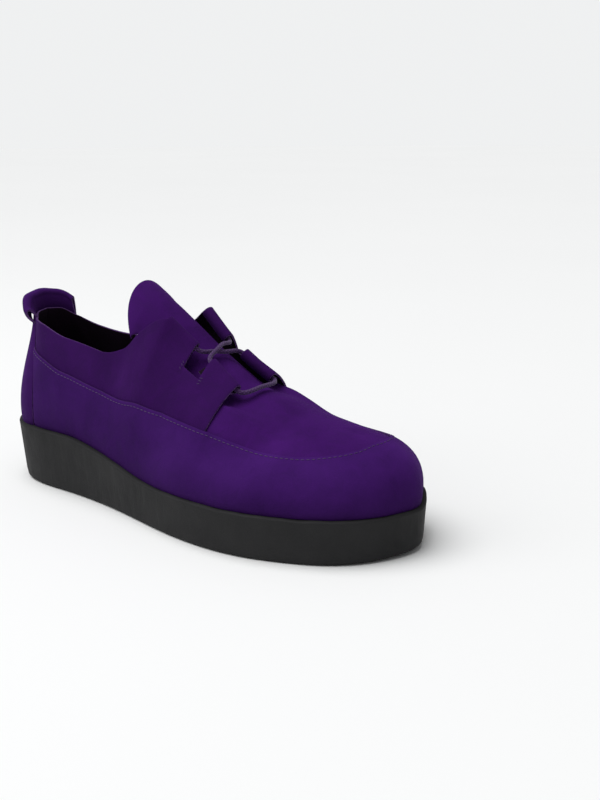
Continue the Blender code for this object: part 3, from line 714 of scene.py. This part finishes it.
def woven_cord(name, dark, light):
    """Round braided cord: two sets of strands that wind over it both ways."""
    finish, tree, shader = new_finish(name)
    run = add_node(tree, "ShaderNodeUVMap", uv_map="UVMap").outputs["UV"]
    split = add_node(tree, "ShaderNodeSeparateXYZ", {"Vector": run})
    along = maths(tree, "MULTIPLY", split.outputs["X"], 1.0)
    turn = split.outputs["Y"]
    left = maths(tree, "FRACT", maths(tree, "ADD", maths(tree, "MULTIPLY", turn, 4.0), along), 0.0)
    right = maths(tree, "FRACT", maths(tree, "SUBTRACT", along, maths(tree, "MULTIPLY", turn, 4.0)), 0.0)
    lump = maths(tree, "PINGPONG", left, 0.5)
    other = maths(tree, "PINGPONG", right, 0.5)
    height = maths(tree, "MULTIPLY", lump, other)
    place = add_node(tree, "ShaderNodeTexCoord").outputs["Object"]
    fuzz = noise(tree, place, 3000.0, 2.0)
    # The colour follows the strands' height: the grooves between strands are painted darker than the
    # crowns, as painted shade in the grooves.
    tone = maths(tree, "ADD", maths(tree, "MULTIPLY", height, 3.2), maths(tree, "MULTIPLY", fuzz, 0.25))
    color = ramp(tree, tone, ((0.05, dark), (0.75, light)))
    tree.links.new(color, shader.inputs["Base Color"])
    shader.inputs["Roughness"].default_value = 0.78
    shader.inputs["Specular IOR Level"].default_value = 0.25
    shader.inputs["Sheen Weight"].default_value = 0.2
    tree.links.new(bump(tree, height, 0.7, 0.0006), shader.inputs["Normal"])
    return finish


def sewing_thread(name, dark, light):
    finish, tree, shader = new_finish(name)
    place = add_node(tree, "ShaderNodeTexCoord").outputs["Object"]
    twist = noise(tree, place, 2400.0, 2.0)
    color = ramp(tree, twist, ((0.35, dark), (0.65, light)))
    tree.links.new(color, shader.inputs["Base Color"])
    shader.inputs["Roughness"].default_value = 0.6
    tree.links.new(bump(tree, twist, 0.4, 0.0002), shader.inputs["Normal"])
    return finish


upper_suede = suede(
    "upper_suede", (0.0250, 0.0038, 0.0660), (0.0345, 0.0058, 0.0880), (0.0450, 0.0086, 0.1120)
)
vamp_suede = suede(
    "vamp_suede", (0.0255, 0.0030, 0.0640), (0.0350, 0.0045, 0.0860), (0.0460, 0.0072, 0.1100)
)
# The quarters take the suede of the other panels made about a quarter darker: painted shade on the
# quarters.
shaded_quarter_suede = suede(
    "shaded_quarter_suede", (0.0185, 0.0022, 0.0460), (0.0260, 0.0034, 0.0620), (0.0350, 0.0052, 0.0820)
)
panel_suede = suede(
    "panel_suede", (0.0240, 0.0036, 0.0580), (0.0330, 0.0055, 0.0790), (0.0430, 0.0080, 0.1000)
)
raw_edge = cut_edge("raw_edge", (0.045, 0.014, 0.085), (0.130, 0.062, 0.200))
quiet_edge = cut_edge("quiet_edge", (0.034, 0.008, 0.074), (0.080, 0.030, 0.140))
dark_flesh = flesh_side("dark_flesh", (0.0050, 0.0008, 0.0055), (0.0110, 0.0018, 0.0130))
insole_finish = flesh_side("insole_leather", (0.0060, 0.0010, 0.0066), (0.0130, 0.0024, 0.0150))
wall_rubber = crepe_rubber(
    "wall_rubber", (0.0120, 0.0120, 0.0128), (0.0180, 0.0180, 0.0190), (0.0270, 0.0262, 0.0272)
)
tread_rubber = crepe_rubber(
    "tread_rubber", (0.0100, 0.0100, 0.0106), (0.0150, 0.0150, 0.0158), (0.0220, 0.0220, 0.0226)
)
lace_cord = woven_cord("lace_cord", (0.030, 0.008, 0.062), (0.105, 0.040, 0.170))
seam_thread = sewing_thread("seam_thread", (0.034, 0.008, 0.080), (0.070, 0.024, 0.130))


# Pieces
def quarter_lift(places, rings):
    """How far the quarter's outer face stands off the shoe's base skin."""
    share = np.clip(np.arange(rings) / SEAM_RING, 0.0, 1.0)
    lift = QUARTER_STEP * np.repeat(share[None, :], len(places), axis=0)
    seat = np.full_like(lift, PANEL_SEAT)
    turn = smooth_step(PANEL_LAST + 0.02, PANEL_LAST + 0.30, places)[:, None]
    standing = smooth_step(10.35, 11.0, places)[:, None]
    standing = standing * smooth_step(SEAM_RING + 2, NOTCH_RING, np.arange(rings))[None, :]
    return seat + (lift - seat) * turn + FRONT_STAND * standing


def tunnel_axes(rows, first, last, index, side):
    """The axis, the way up the wall and the way out at a lace tunnel's row."""
    here = rows[index]
    axis = rows[last][EDGE_RING] - rows[first][EDGE_RING]
    axis = axis / np.linalg.norm(axis)
    up = here[EDGE_RING] - here[EDGE_RING - 2]
    up = up - axis * up.dot(axis)
    up /= np.linalg.norm(up)
    return axis, up, np.cross(axis, up) * -side


def quarter_rows(side):
    """The quarter's outer face, the rolls of its lace tunnels and the tunnels' centres."""
    half = SIDES[side]
    rows = half.back + half.back_out * quarter_lift(half.places, EDGE_RING + 1)[..., None]
    rows = rows + half.back_out * suede_relief(rows)[..., None]
    angles = np.radians(np.linspace(84, -118, 26))
    curls = np.repeat(rows[:, EDGE_RING :, :], len(angles) + 4, axis=1)
    centres = []
    for start, end in TUNNELS:
        first, last = list(half.places).index(start), list(half.places).index(end)
        run = []
        for i in range(first, last + 1):
            axis, up, out = tunnel_axes(rows, first, last, i, side)
            edge = rows[i][EDGE_RING]
            centre = edge - out * TUNNEL_RADIUS
            run.append(centre)
            ring = centre + TUNNEL_RADIUS * (
                np.cos(angles)[:, None] * up + np.sin(angles)[:, None] * out
            )
            curls[i, : len(angles)] = ring
            for k in range(4):
                drop = TUNNEL_RADIUS + 0.0016 + 0.0013 * k
                curls[i, len(angles) + k] = edge - up * drop - out * 0.0036
        centres.append(np.array(run))
    return rows, curls, centres


def build_quarter(side, name):
    half = SIDES[side]
    rows, curls, centres = quarter_rows(side)
    points = np.concatenate([rows, curls], axis=1)
    out = np.concatenate([half.back_out, np.repeat(half.back_out[:, -1:], curls.shape[1], 1)], 1)

    def keep(i, j):
        place = half.places[i] + 1e-6
        if j >= EDGE_RING:
            return any(first <= place < last for first, last in TUNNELS)
        if j >= NOTCH_RING:
            return not NOTCH[0] <= place < NOTCH[1]
        return True

    out[:, EDGE_RING + 1 :] = 0.0
    bm = sheet(points, out, keep)
    nodes = ("upper",) if side < 0 else ()
    piece = place_piece(name, bm, (shaded_quarter_suede, dark_flesh, raw_edge), nodes)
    give_wall(piece, QUARTER_THICKNESS)
    return piece, rows, centres


def mudguard_rows(side):
    """The mudguard's outer face on one side, heel to toe, feather to seam."""
    half = SIDES[side]
    share = np.arange(SEAM_RING + 1) / SEAM_RING
    first = int(np.searchsorted(half.places, PANEL_LAST + 0.02))
    places = half.places[first:]
    lift = QUARTER_STEP * share[None, :] + MUDGUARD_STEP
    start = np.sqrt(smooth_step(PANEL_LAST - 0.04, PANEL_LAST + 0.26, places))[:, None]
    lift = PANEL_SEAT - 0.0002 + (lift - PANEL_SEAT + 0.0002) * start
    back_out = half.back_out[first:, : SEAM_RING + 1]
    back = half.back[first:, : SEAM_RING + 1] + back_out * lift[..., None]
    ahead = 1.0 - smooth_step(0.0, 0.45, half.shut)
    lift = MUDGUARD_STEP + QUARTER_STEP * share[None, :] * ahead[:, None]
    front_out = half.front_out[:, : SEAM_RING + 1]
    front = half.front[:, : SEAM_RING + 1] + front_out * lift[..., None]
    rows = np.concatenate([back, front])
    out = np.concatenate([back_out, front_out])
    rows = rows + out * suede_relief(rows)[..., None]
    return rows, out


def build_mudguard():
    outer, outer_out = mudguard_rows(-1)
    inner, inner_out = mudguard_rows(1)
    toe = (outer[-1] + inner[-1]) / 2
    rows = np.concatenate([outer[:-1], toe[None], inner[-2::-1]])
    out = np.concatenate([outer_out[:-1], outer_out[-1:], inner_out[-2::-1]])
    out[len(outer) - 1] = (outer_out[-2] + inner_out[-2]) / 2
    bm = sheet(rows, out)
    piece = place_piece("mudguard", bm, (upper_suede, dark_flesh, quiet_edge))
    give_wall(piece, MUDGUARD_THICKNESS)
    return piece, rows, out


def build_vamp():
    """The vamp and the tongue, cut in one piece: from the toe, under the quarters, to the tip."""
    outer, inner = SIDES[-1], SIDES[1]
    across = np.concatenate([outer.front, inner.front[:, -2::-1]], axis=1)
    across_out = np.concatenate([outer.front_out, inner.front_out[:, -2::-1]], axis=1)
    across = across[::-1]
    across_out = across_out[::-1]
    across_out[:, RIDGE_RING] = across_out[:, RIDGE_RING - 1] + across_out[:, RIDGE_RING + 1]
    across_out /= np.maximum(np.linalg.norm(across_out, axis=2, keepdims=True), 1e-9)
    hem = across[-1]
    count = len(hem)
    first, last = NOTCH_RING + 1, count - NOTCH_RING - 2
    shares = np.interp(hem[:, 1], (hem[first, 1], hem[last, 1]), (-1.0, 1.0))
    knots = np.arange(len(TONGUE), dtype=float)
    steps = 72
    rows, outs = [], []
    x0 = TONGUE[0][0] * SOLE_LENGTH
    for k in range(1, steps + 1):
        coarse = 22.0 * k / steps
        place = (len(TONGUE) - 1) * k / steps
        read = {n: float(eased(knots, column(TONGUE, TONGUE_COLUMNS, n), place)) for n in TONGUE_COLUMNS}
        x = read["along"] * SOLE_LENGTH
        y = read["side"] * BALL_WIDTH
        z = sole_top(x) + read["rise"] * INSTEP_RISE
        drop = read["arch"] * TONGUE_HALF_WIDTH * shares**2
        back = np.zeros(count)
        if coarse > 16:
            part = (coarse - 16) / 6.0
            back = 0.42 * TONGUE_HALF_WIDTH * part * part * shares**4
        reach = shares * read["width"] * TONGUE_HALF_WIDTH
        row = np.stack([x + back, y + reach, z - drop - back * 0.5], axis=1)
        blend = 1.0 - smooth_step(0.0, 5.0, coarse)
        if blend > 0:
            start = hem + np.array([-(x0 - x), 0.0, 0.30 * (x0 - x)])
            start[:, 1] = hem[:, 1] * (1.0 - 0.07 * (1.0 - blend))
            row = row * (1.0 - blend) + start * blend
        if k <= 6:
            for j in range(count):
                if j < first or j > last:
                    half = outer if j < first else inner
                    ring = j if j < first else count - 1 - j
                    behind = half.back[-1 - k, ring] - half.back_out[-1 - k, ring] * 0.0002
                    row[j] = behind
        rows.append(row)
    grid = np.concatenate([across, np.array(rows)])
    out = np.zeros_like(grid)
    out[: len(across)] = across_out
    front = len(across)

    def keep(i, j):
        if i < front + 4:
            return True
        return first <= j < last

    bm = sheet(grid, out, keep)
    bmesh.ops.remove_doubles(bm, verts=bm.verts, dist=0.00004)
    piece = place_piece(
        "vamp_and_tongue", bm, (vamp_suede, dark_flesh, quiet_edge), ("tongue",)
    )
    give_wall(piece, VAMP_THICKNESS).use_even_offset = False
    return piece, grid


def build_heel_panel():
    """The strip up the back of the heel, whose top folds back as a rolled tab."""
    base = []
    for side in (-1, 1):
        half = SIDES[side]
        last = int(np.searchsorted(half.places, PANEL_LAST)) + 1
        seat = half.back[:last] + half.back_out[:last] * (PANEL_SEAT + FIT_GAP)
        runs = [(seat[i], half.back_out[i]) for i in range(last)]
        base = runs[:0:-1] + [runs[0]] if side < 0 else base + runs[1:]
    rows, outs = [], []
    count = len(base)
    for index, (seat, out) in enumerate(base):
        rim = min(index, count - 1 - index)
        full = PANEL_THICKNESS * (0.10 + 0.90 * math.sqrt(float(smooth_step(0.0, 4.0, rim))))
        corner = float(smooth_step(0.0, 9.0, rim)) if index < count // 2 else 1.0
        rise = PANEL_TAB_RISE * (0.30 + 0.70 * corner)
        outer_roll = PANEL_TAB_ROLL * (0.55 + 0.35 * corner)
        flap = PANEL_TAB_FLAP * (0.75 + 0.45 * corner)
        face = seat + out * full
        up = face[-1] - face[-3]
        up /= np.linalg.norm(up)
        lean = out[-1]
        run = list(face)
        for k in range(1, 9):
            share = k / 8
            run.append(face[-1] + up * rise * share + lean * 0.0022 * share**1.6)
        centre = run[-1] + lean * outer_roll
        for angle in np.linspace(168, -14, 20):
            turn = math.radians(angle)
            run.append(centre + outer_roll * (math.cos(turn) * lean + math.sin(turn) * up))
        for k in range(1, 7):
            run.append(run[-1] - up * flap / 6 - lean * 0.00022 * k)
        rows.append(run)
        outs.append(list(out) + [lean] * (len(run) - len(out)))
    outs = np.array(outs)
    outs[:, EDGE_RING + 4 :] = 0.0
    bm = sheet(np.array(rows), outs)
    piece = place_piece(
        "heel_strip", bm, (panel_suede, panel_suede, raw_edge), ("heel_panel",)
    )
    give_wall(piece, PANEL_THICKNESS, inner=1, rim=2)
    return piece


def hermite(start, leave, end, arrive, count):
    """Points of a smooth run between two points with given directions, ends left out."""
    share = (np.arange(1, count) / count)[:, None]
    return list(
        (2 * share**3 - 3 * share**2 + 1) * start
        + (share**3 - 2 * share**2 + share) * leave
        + (-2 * share**3 + 3 * share**2) * end
        + (share**3 - share**2) * arrive
    )


def lace_route(centres):
    """The cord's middle line, from inside one top tunnel to inside the other."""
    def way(tunnel):
        return (tunnel[-1] - tunnel[0]) / np.linalg.norm(tunnel[-1] - tunnel[0])

    over = np.array([0.0, 0.0, LACE_RADIUS + 0.0003])
    lift = np.array([0.0, 0.0, 0.0012])
    leave = {(side, k): way(centres[side][k]) for side in (-1, 1) for k in (0, 1)}
    upper_in, lower_in = centres[1]
    upper_out, lower_out = centres[-1]
    points = list(upper_in[3:])
    start, end = points[-1], lower_out[0]
    middle = (start + end) / 2 + over + lift
    slope = (end - start) * 0.75
    points += hermite(start, leave[1, 0] * 0.017, middle, slope, 18) + [middle]
    points += hermite(middle, slope, end, leave[-1, 1] * 0.017, 18) + list(lower_out)
    start, end = points[-1], lower_in[-1]
    middle = (start + end) / 2 + np.array([0.0050, 0.0, -0.0008])
    slope = (end - start) * 0.8
    points += hermite(start, leave[-1, 1] * 0.016, middle, slope, 18) + [middle]
    points += hermite(middle, slope, end, -leave[1, 1] * 0.016, 18) + list(lower_in[::-1])
    start, end = points[-1], upper_out[-1]
    middle = (start + end) / 2 - over + lift
    slope = (end - start) * 0.75
    points += hermite(start, -leave[1, 1] * 0.017, middle, slope, 18) + [middle]
    points += hermite(middle, slope, end, -leave[-1, 0] * 0.017, 18) + list(upper_out[:2:-1])
    return np.array(points)


def even_run(points, pitch):
    """The same line, stepped evenly."""
    runs = np.append(0.0, np.cumsum(np.linalg.norm(np.diff(points, axis=0), axis=1)))
    count = max(2, int(round(runs[-1] / pitch)))
    at = np.linspace(0.0, runs[-1], count + 1)
    return np.stack([np.interp(at, runs, points[:, k]) for k in range(3)], axis=1), runs[-1]


def build_lace(centres):
    line, length = even_run(lace_route(centres), 0.0008)
    for repeat in range(6):
        line[1:-1] = line[1:-1] * 0.5 + (line[:-2] + line[2:]) * 0.25
    ways = np.gradient(line, axis=0)
    ways /= np.linalg.norm(ways, axis=1, keepdims=True)
    sides = 20
    grid = np.zeros((len(line), sides + 1, 3))
    normal = np.cross(ways[0], (0.0, 0.0, 1.0))
    for i, way in enumerate(ways):
        normal = normal - way * normal.dot(way)
        normal /= np.linalg.norm(normal)
        other = np.cross(way, normal)
        turns = 2 * math.pi * np.arange(sides + 1) / sides
        grid[i] = line[i] + LACE_RADIUS * (
            np.cos(turns)[:, None] * normal + np.sin(turns)[:, None] * other
        )
    out = grid - line[:, None, :]
    bm = sheet(grid, out)
    layer = bm.loops.layers.uv.active
    for face in bm.faces:
        for loop in face.loops:
            loop[layer].uv.x *= length / 0.0022
    bmesh.ops.remove_doubles(bm, verts=bm.verts, dist=0.00005)
    bmesh.ops.holes_fill(bm, edges=[edge for edge in bm.edges if edge.is_boundary], sides=0)
    return place_piece("lace_cord", bm, (lace_cord,), ("lace",))


def add_stitch(bm, middle, way, out, length=STITCH_LENGTH, radius=STITCH_RADIUS):
    """One stitch: a short rounded thread lying in the leather."""
    way = way / np.linalg.norm(way)
    out = out - way * out.dot(way)
    out /= np.linalg.norm(out)
    side = np.cross(out, way)
    place = middle + SHIFT + out * radius * 0.35
    turn = Matrix((
        (side[0] * radius, out[0] * radius, way[0] * length / 2, place[0]),
        (side[1] * radius, out[1] * radius, way[1] * length / 2, place[1]),
        (side[2] * radius, out[2] * radius, way[2] * length / 2, place[2]),
        (0.0, 0.0, 0.0, 1.0),
    ))
    bmesh.ops.create_uvsphere(bm, u_segments=6, v_segments=6, radius=1.0, matrix=turn)


def along_edge(rows, setback):
    """The line at a distance below the top edge of a grid, over its surface."""
    line = []
    for row in rows:
        run = row[::-1]
        lengths = np.append(0.0, np.cumsum(np.linalg.norm(np.diff(run, axis=0), axis=1)))
        line.append([np.interp(setback, lengths, run[:, k]) for k in range(3)])
    return np.array(line)


def build_stitches(guard_rows, guard_out, quarters):
    bm = bmesh.new()
    line = along_edge(guard_rows, STITCH_SETBACK)
    runs = np.append(0.0, np.cumsum(np.linalg.norm(np.diff(line, axis=0), axis=1)))
    outs = guard_out[:, SEAM_RING - 2]
    count = int(runs[-1] / STITCH_PITCH)
    for k in range(1, count):
        at = k * STITCH_PITCH
        middle = np.array([np.interp(at, runs, line[:, a]) for a in range(3)])
        ahead = np.array([np.interp(at + 0.0008, runs, line[:, a]) for a in range(3)])
        out = np.array([np.interp(at, runs, outs[:, a]) for a in range(3)])
        add_stitch(bm, middle, ahead - middle, out)
    for side, (rows, places) in quarters.items():
        for place in NOTCH:
            i = int(np.argmin(abs(places - place)))
            toward = -1 if place == NOTCH[0] else 1
            for k in range(3):
                ring = NOTCH_RING - 1 + k
                middle = rows[i + toward, ring]
                way = rows[i + toward * 2, ring] - rows[i, ring - 1]
                out = SIDES[side].back_out[i, ring]
                add_stitch(bm, middle, way, out, 0.0018, 0.0002)
    for face in bm.faces:
        face.smooth = True
    return place_piece("seam_stitches", bm, (seam_thread,))


def rim_wave(stations):
    """The slight unevenness of the hand-trimmed rim."""
    turns = stations * math.pi
    return (
        0.40 * np.sin(17 * turns + 0.4)
        + 0.35 * np.sin(29 * turns + 1.9)
        + 0.25 * np.sin(43 * turns + 4.1)
    )


def build_sole():
    """The wedge platform: a wall from the tread to the rim, the top face and the tread."""
    count = 360
    profile = (
        (lambda x: -TREAD_BEVEL - 0.0040, lambda x: tread_height(x) + 0.0002, 0.0),
        (lambda x: -TREAD_BEVEL, tread_height, 0.0),
        (lambda x: -TREAD_BEVEL * 0.62, lambda x: tread_height(x) + TREAD_BEVEL * 0.07, 0.0),
        (lambda x: -TREAD_BEVEL * 0.28, lambda x: tread_height(x) + TREAD_BEVEL * 0.30, 0.0),
        (lambda x: -TREAD_BEVEL * 0.05, lambda x: tread_height(x) + TREAD_BEVEL * 0.65, 0.0),
        (lambda x: 0.06 * flare(x), lambda x: tread_height(x) + TREAD_BEVEL * 1.1, 0.1),
    )
    walls = []
    for share in np.linspace(0.14, 0.93, 12):
        walls.append((
            lambda x, s=share: flare(x) * (0.08 + 0.92 * s),
            lambda x, s=share: sole_top(x) * s + tread_height(x) * (1 - s),
            0.2 + 0.5 * share,
        ))
    rims = (
        (lambda x: flare(x), lambda x: sole_top(x) - RIM_BEVEL * 0.9, 0.9),
        (lambda x: flare(x) - RIM_BEVEL * 0.25, lambda x: sole_top(x) - RIM_BEVEL * 0.25, 1.0),
        (lambda x: flare(x) - RIM_BEVEL, sole_top, 1.0),
        (lambda x: flare(x) - 0.0030, lambda x: sole_top(x) + 0.0001, 0.6),
        (lambda x: flare(x) - 0.0075, sole_top, 0.0),
    )
    loops = []
    for grow, height, wave in profile + tuple(walls) + rims:
        points, stations = plan_ring(count, grow)
        heights = height(points[:, 0])
        ripple = rim_wave(stations) * RIM_WAVE * wave
        points, stations = plan_ring(count, lambda x: grow(x) + ripple * 0.5)
        loops.append(np.column_stack([points, heights + ripple]))
    grid = np.array(loops).transpose(1, 0, 2)
    grid = np.concatenate([grid, grid[:1]])
    middle = grid.mean(axis=(0, 1))
    bm = sheet(grid, grid - middle)
    bmesh.ops.remove_doubles(bm, verts=bm.verts, dist=0.00002)
    wall = place_piece("sole_wall", bm, (wall_rubber,), ("outsole",))

    flat = grid[:-1, 1]
    half = count // 2
    outer, inner = flat[: half + 1], np.concatenate([flat[:1], flat[: half - 1 : -1]])
    xs = flat[:, 0].min() + 0.0004
    xe = flat[:, 0].max() - 0.0004
    ease = (1 - np.cos(np.linspace(0, math.pi, 280))) / 2
    along = xs + (xe - xs) * ease
    low = np.interp(along, outer[:, 0], outer[:, 1])
    high = np.interp(along, inner[:, 0], inner[:, 1])
    across = np.linspace(0.0, 1.0, 120)[None, :]
    ys = low[:, None] + (high - low)[:, None] * across
    x2 = np.repeat(along[:, None], 120, axis=1)
    border = np.minimum(ys - low[:, None], high[:, None] - ys)
    ends = np.minimum(along - xs, xe - along)[:, None]
    inside = smooth_step(0.003, 0.006, np.minimum(border, ends))
    wave = (x2 + 0.0013 * np.sin(ys / 0.0100 * 2 * math.pi)) / 0.0062 % 1.0
    groove = smooth_step(0.08, 0.26, wave) * (1.0 - smooth_step(0.50, 0.68, wave))
    tread = np.stack([x2, ys, tread_height(x2) + TREAD_GROOVE * groove * inside], axis=2)
    down = np.zeros_like(tread)
    down[..., 2] = -1.0
    place_piece("tread", sheet(tread, down), (tread_rubber,))
    return wall


def build_insole():
    """The sock lining: a thin leather bed, slightly cupped at its edge."""
    inset = HEEL_RIM + 0.0016 + 0.0012
    outline, stations = plan_ring(240, lambda x: flare(x) - inset)
    outer = outline[: 121]
    inner = np.concatenate([outline[:1], outline[: 119 : -1]])
    xs, xe = outline[:, 0].min() + 0.0003, outline[:, 0].max() - 0.0003
    along = xs + (xe - xs) * (1 - np.cos(np.linspace(0, math.pi, 120))) / 2
    low = np.interp(along, outer[:, 0], outer[:, 1])
    high = np.interp(along, inner[:, 0], inner[:, 1])
    across = (1 - np.cos(np.linspace(0, math.pi, 48))) / 2
    ys = low[:, None] + (high - low)[:, None] * across[None, :]
    x2 = np.repeat(along[:, None], 48, axis=1)
    border = np.minimum(ys - low[:, None], high[:, None] - ys)
    cup = 0.0012 * (1.0 - smooth_step(0.0, 0.009, border))
    top = sole_top(x2) + FIT_GAP + INSOLE_THICKNESS - 0.0006 + cup
    grid = np.stack([x2, ys, top], axis=2)
    up = np.zeros_like(grid)
    up[..., 2] = 1.0
    piece = place_piece("sock_lining", sheet(grid, up), (insole_finish,), ("insole",))
    give_wall(piece, 0.0024, inner=0, rim=0, rounding=0.0)
    return piece


STUDIO_FILL = 0.26
STUDIO_BACKDROP = 0.88
OVERHEAD_POWER = 2.25
OVERHEAD_FROM = (-0.35, -0.30, 1.60)
KEY_FROM = (-0.75, -0.80, 0.75)
KEY_POWER = 3.0


def build_studio():
    """A plain pale floor and soft light from above the heel's side."""
    bm = bmesh.new()
    bmesh.ops.create_circle(bm, cap_ends=True, segments=96, radius=6.0)
    mesh = bpy.data.meshes.new("floor")
    bm.to_mesh(mesh)
    bm.free()
    finish, tree, shader = new_finish("studio_floor")
    place = add_node(tree, "ShaderNodeTexCoord").outputs["Object"]
    cloud = noise(tree, place, 2.0, 1.0)
    color = ramp(tree, cloud, ((0.3, (0.94, 0.945, 0.945)), (0.7, (0.95, 0.955, 0.955))))
    tree.links.new(color, shader.inputs["Base Color"])
    shader.inputs["Roughness"].default_value = 0.9
    shader.inputs["Specular IOR Level"].default_value = 0.1
    mesh.materials.append(finish)
    floor = bpy.data.objects.new("floor", mesh)
    bpy.context.scene.collection.objects.link(floor)

    world = bpy.data.worlds.new("studio")
    world.use_nodes = True
    tree = world.node_tree
    seen = add_node(tree, "ShaderNodeLightPath").outputs["Is Camera Ray"]
    strength = remap(tree, seen, 0.0, 1.0, STUDIO_FILL, STUDIO_BACKDROP)
    sky = tree.nodes["Background"]
    sky.inputs["Color"].default_value = (0.985, 0.995, 1.0, 1.0)
    tree.links.new(strength, sky.inputs["Strength"])
    bpy.context.scene.world = world

    sun = bpy.data.lights.new("overhead", "SUN")
    sun.energy = OVERHEAD_POWER
    sun.angle = math.radians(55)
    lights = [(sun, OVERHEAD_FROM)]
    key = bpy.data.lights.new("key", "AREA")
    key.shape = "DISK"
    key.size = 0.9
    key.energy = KEY_POWER
    lights.append((key, KEY_FROM))
    for lamp, place in lights:
        light = bpy.data.objects.new(lamp.name, lamp)
        light.location = place
        aim = Vector((0.0, 0.0, 0.04)) - Vector(place)
        light.rotation_euler = aim.to_track_quat("-Z", "Y").to_euler()
        bpy.context.scene.collection.objects.link(light)
    view = bpy.context.scene.view_settings
    view.view_transform = "Standard"
    view.look = "None"
    view.exposure = 0.0
    view.gamma = 1.0


CAMERA_PLACE = (0.38149, -0.45298, 0.21731)
CAMERA_YAW = 0.60532
CAMERA_PITCH = 0.26022
CAMERA_ROLL = -0.005425
CAMERA_LENS = 49.495


def build_camera():
    """The photograph's camera: standing ahead of the shoe's outer side, looking slightly down."""
    level = Vector((-math.sin(CAMERA_YAW), math.cos(CAMERA_YAW), 0.0))
    right = Vector((math.cos(CAMERA_YAW), math.sin(CAMERA_YAW), 0.0))
    ahead = level * math.cos(CAMERA_PITCH) - Vector((0.0, 0.0, math.sin(CAMERA_PITCH)))
    down = -level * math.sin(CAMERA_PITCH) - Vector((0.0, 0.0, math.cos(CAMERA_PITCH)))
    turn, lean = math.cos(CAMERA_ROLL), math.sin(CAMERA_ROLL)
    across = right * turn - down * lean
    below = right * lean + down * turn
    lens = bpy.data.cameras.new("camera")
    lens.lens = CAMERA_LENS
    lens.sensor_width = 36.0
    camera = bpy.data.objects.new("camera", lens)
    facing = Matrix((across, -below, -ahead)).transposed()
    camera.matrix_world = Matrix.Translation(CAMERA_PLACE) @ facing.to_4x4()
    bpy.context.scene.collection.objects.link(camera)
    bpy.context.scene.camera = camera


build_camera()
outer_quarter, outer_rows, outer_centres = build_quarter(-1, "quarter_outer")
inner_quarter, inner_rows, inner_centres = build_quarter(1, "quarter_inner")
mudguard, guard_rows, guard_out = build_mudguard()
vamp, vamp_grid = build_vamp()
heel_strip = build_heel_panel()
lace = build_lace({-1: outer_centres, 1: inner_centres})
stitches = build_stitches(guard_rows, guard_out, {
    -1: (outer_rows, SIDES[-1].places), 1: (inner_rows, SIDES[1].places),
})
build_sole()
build_insole()
build_studio()

bpy.context.view_layer.update()
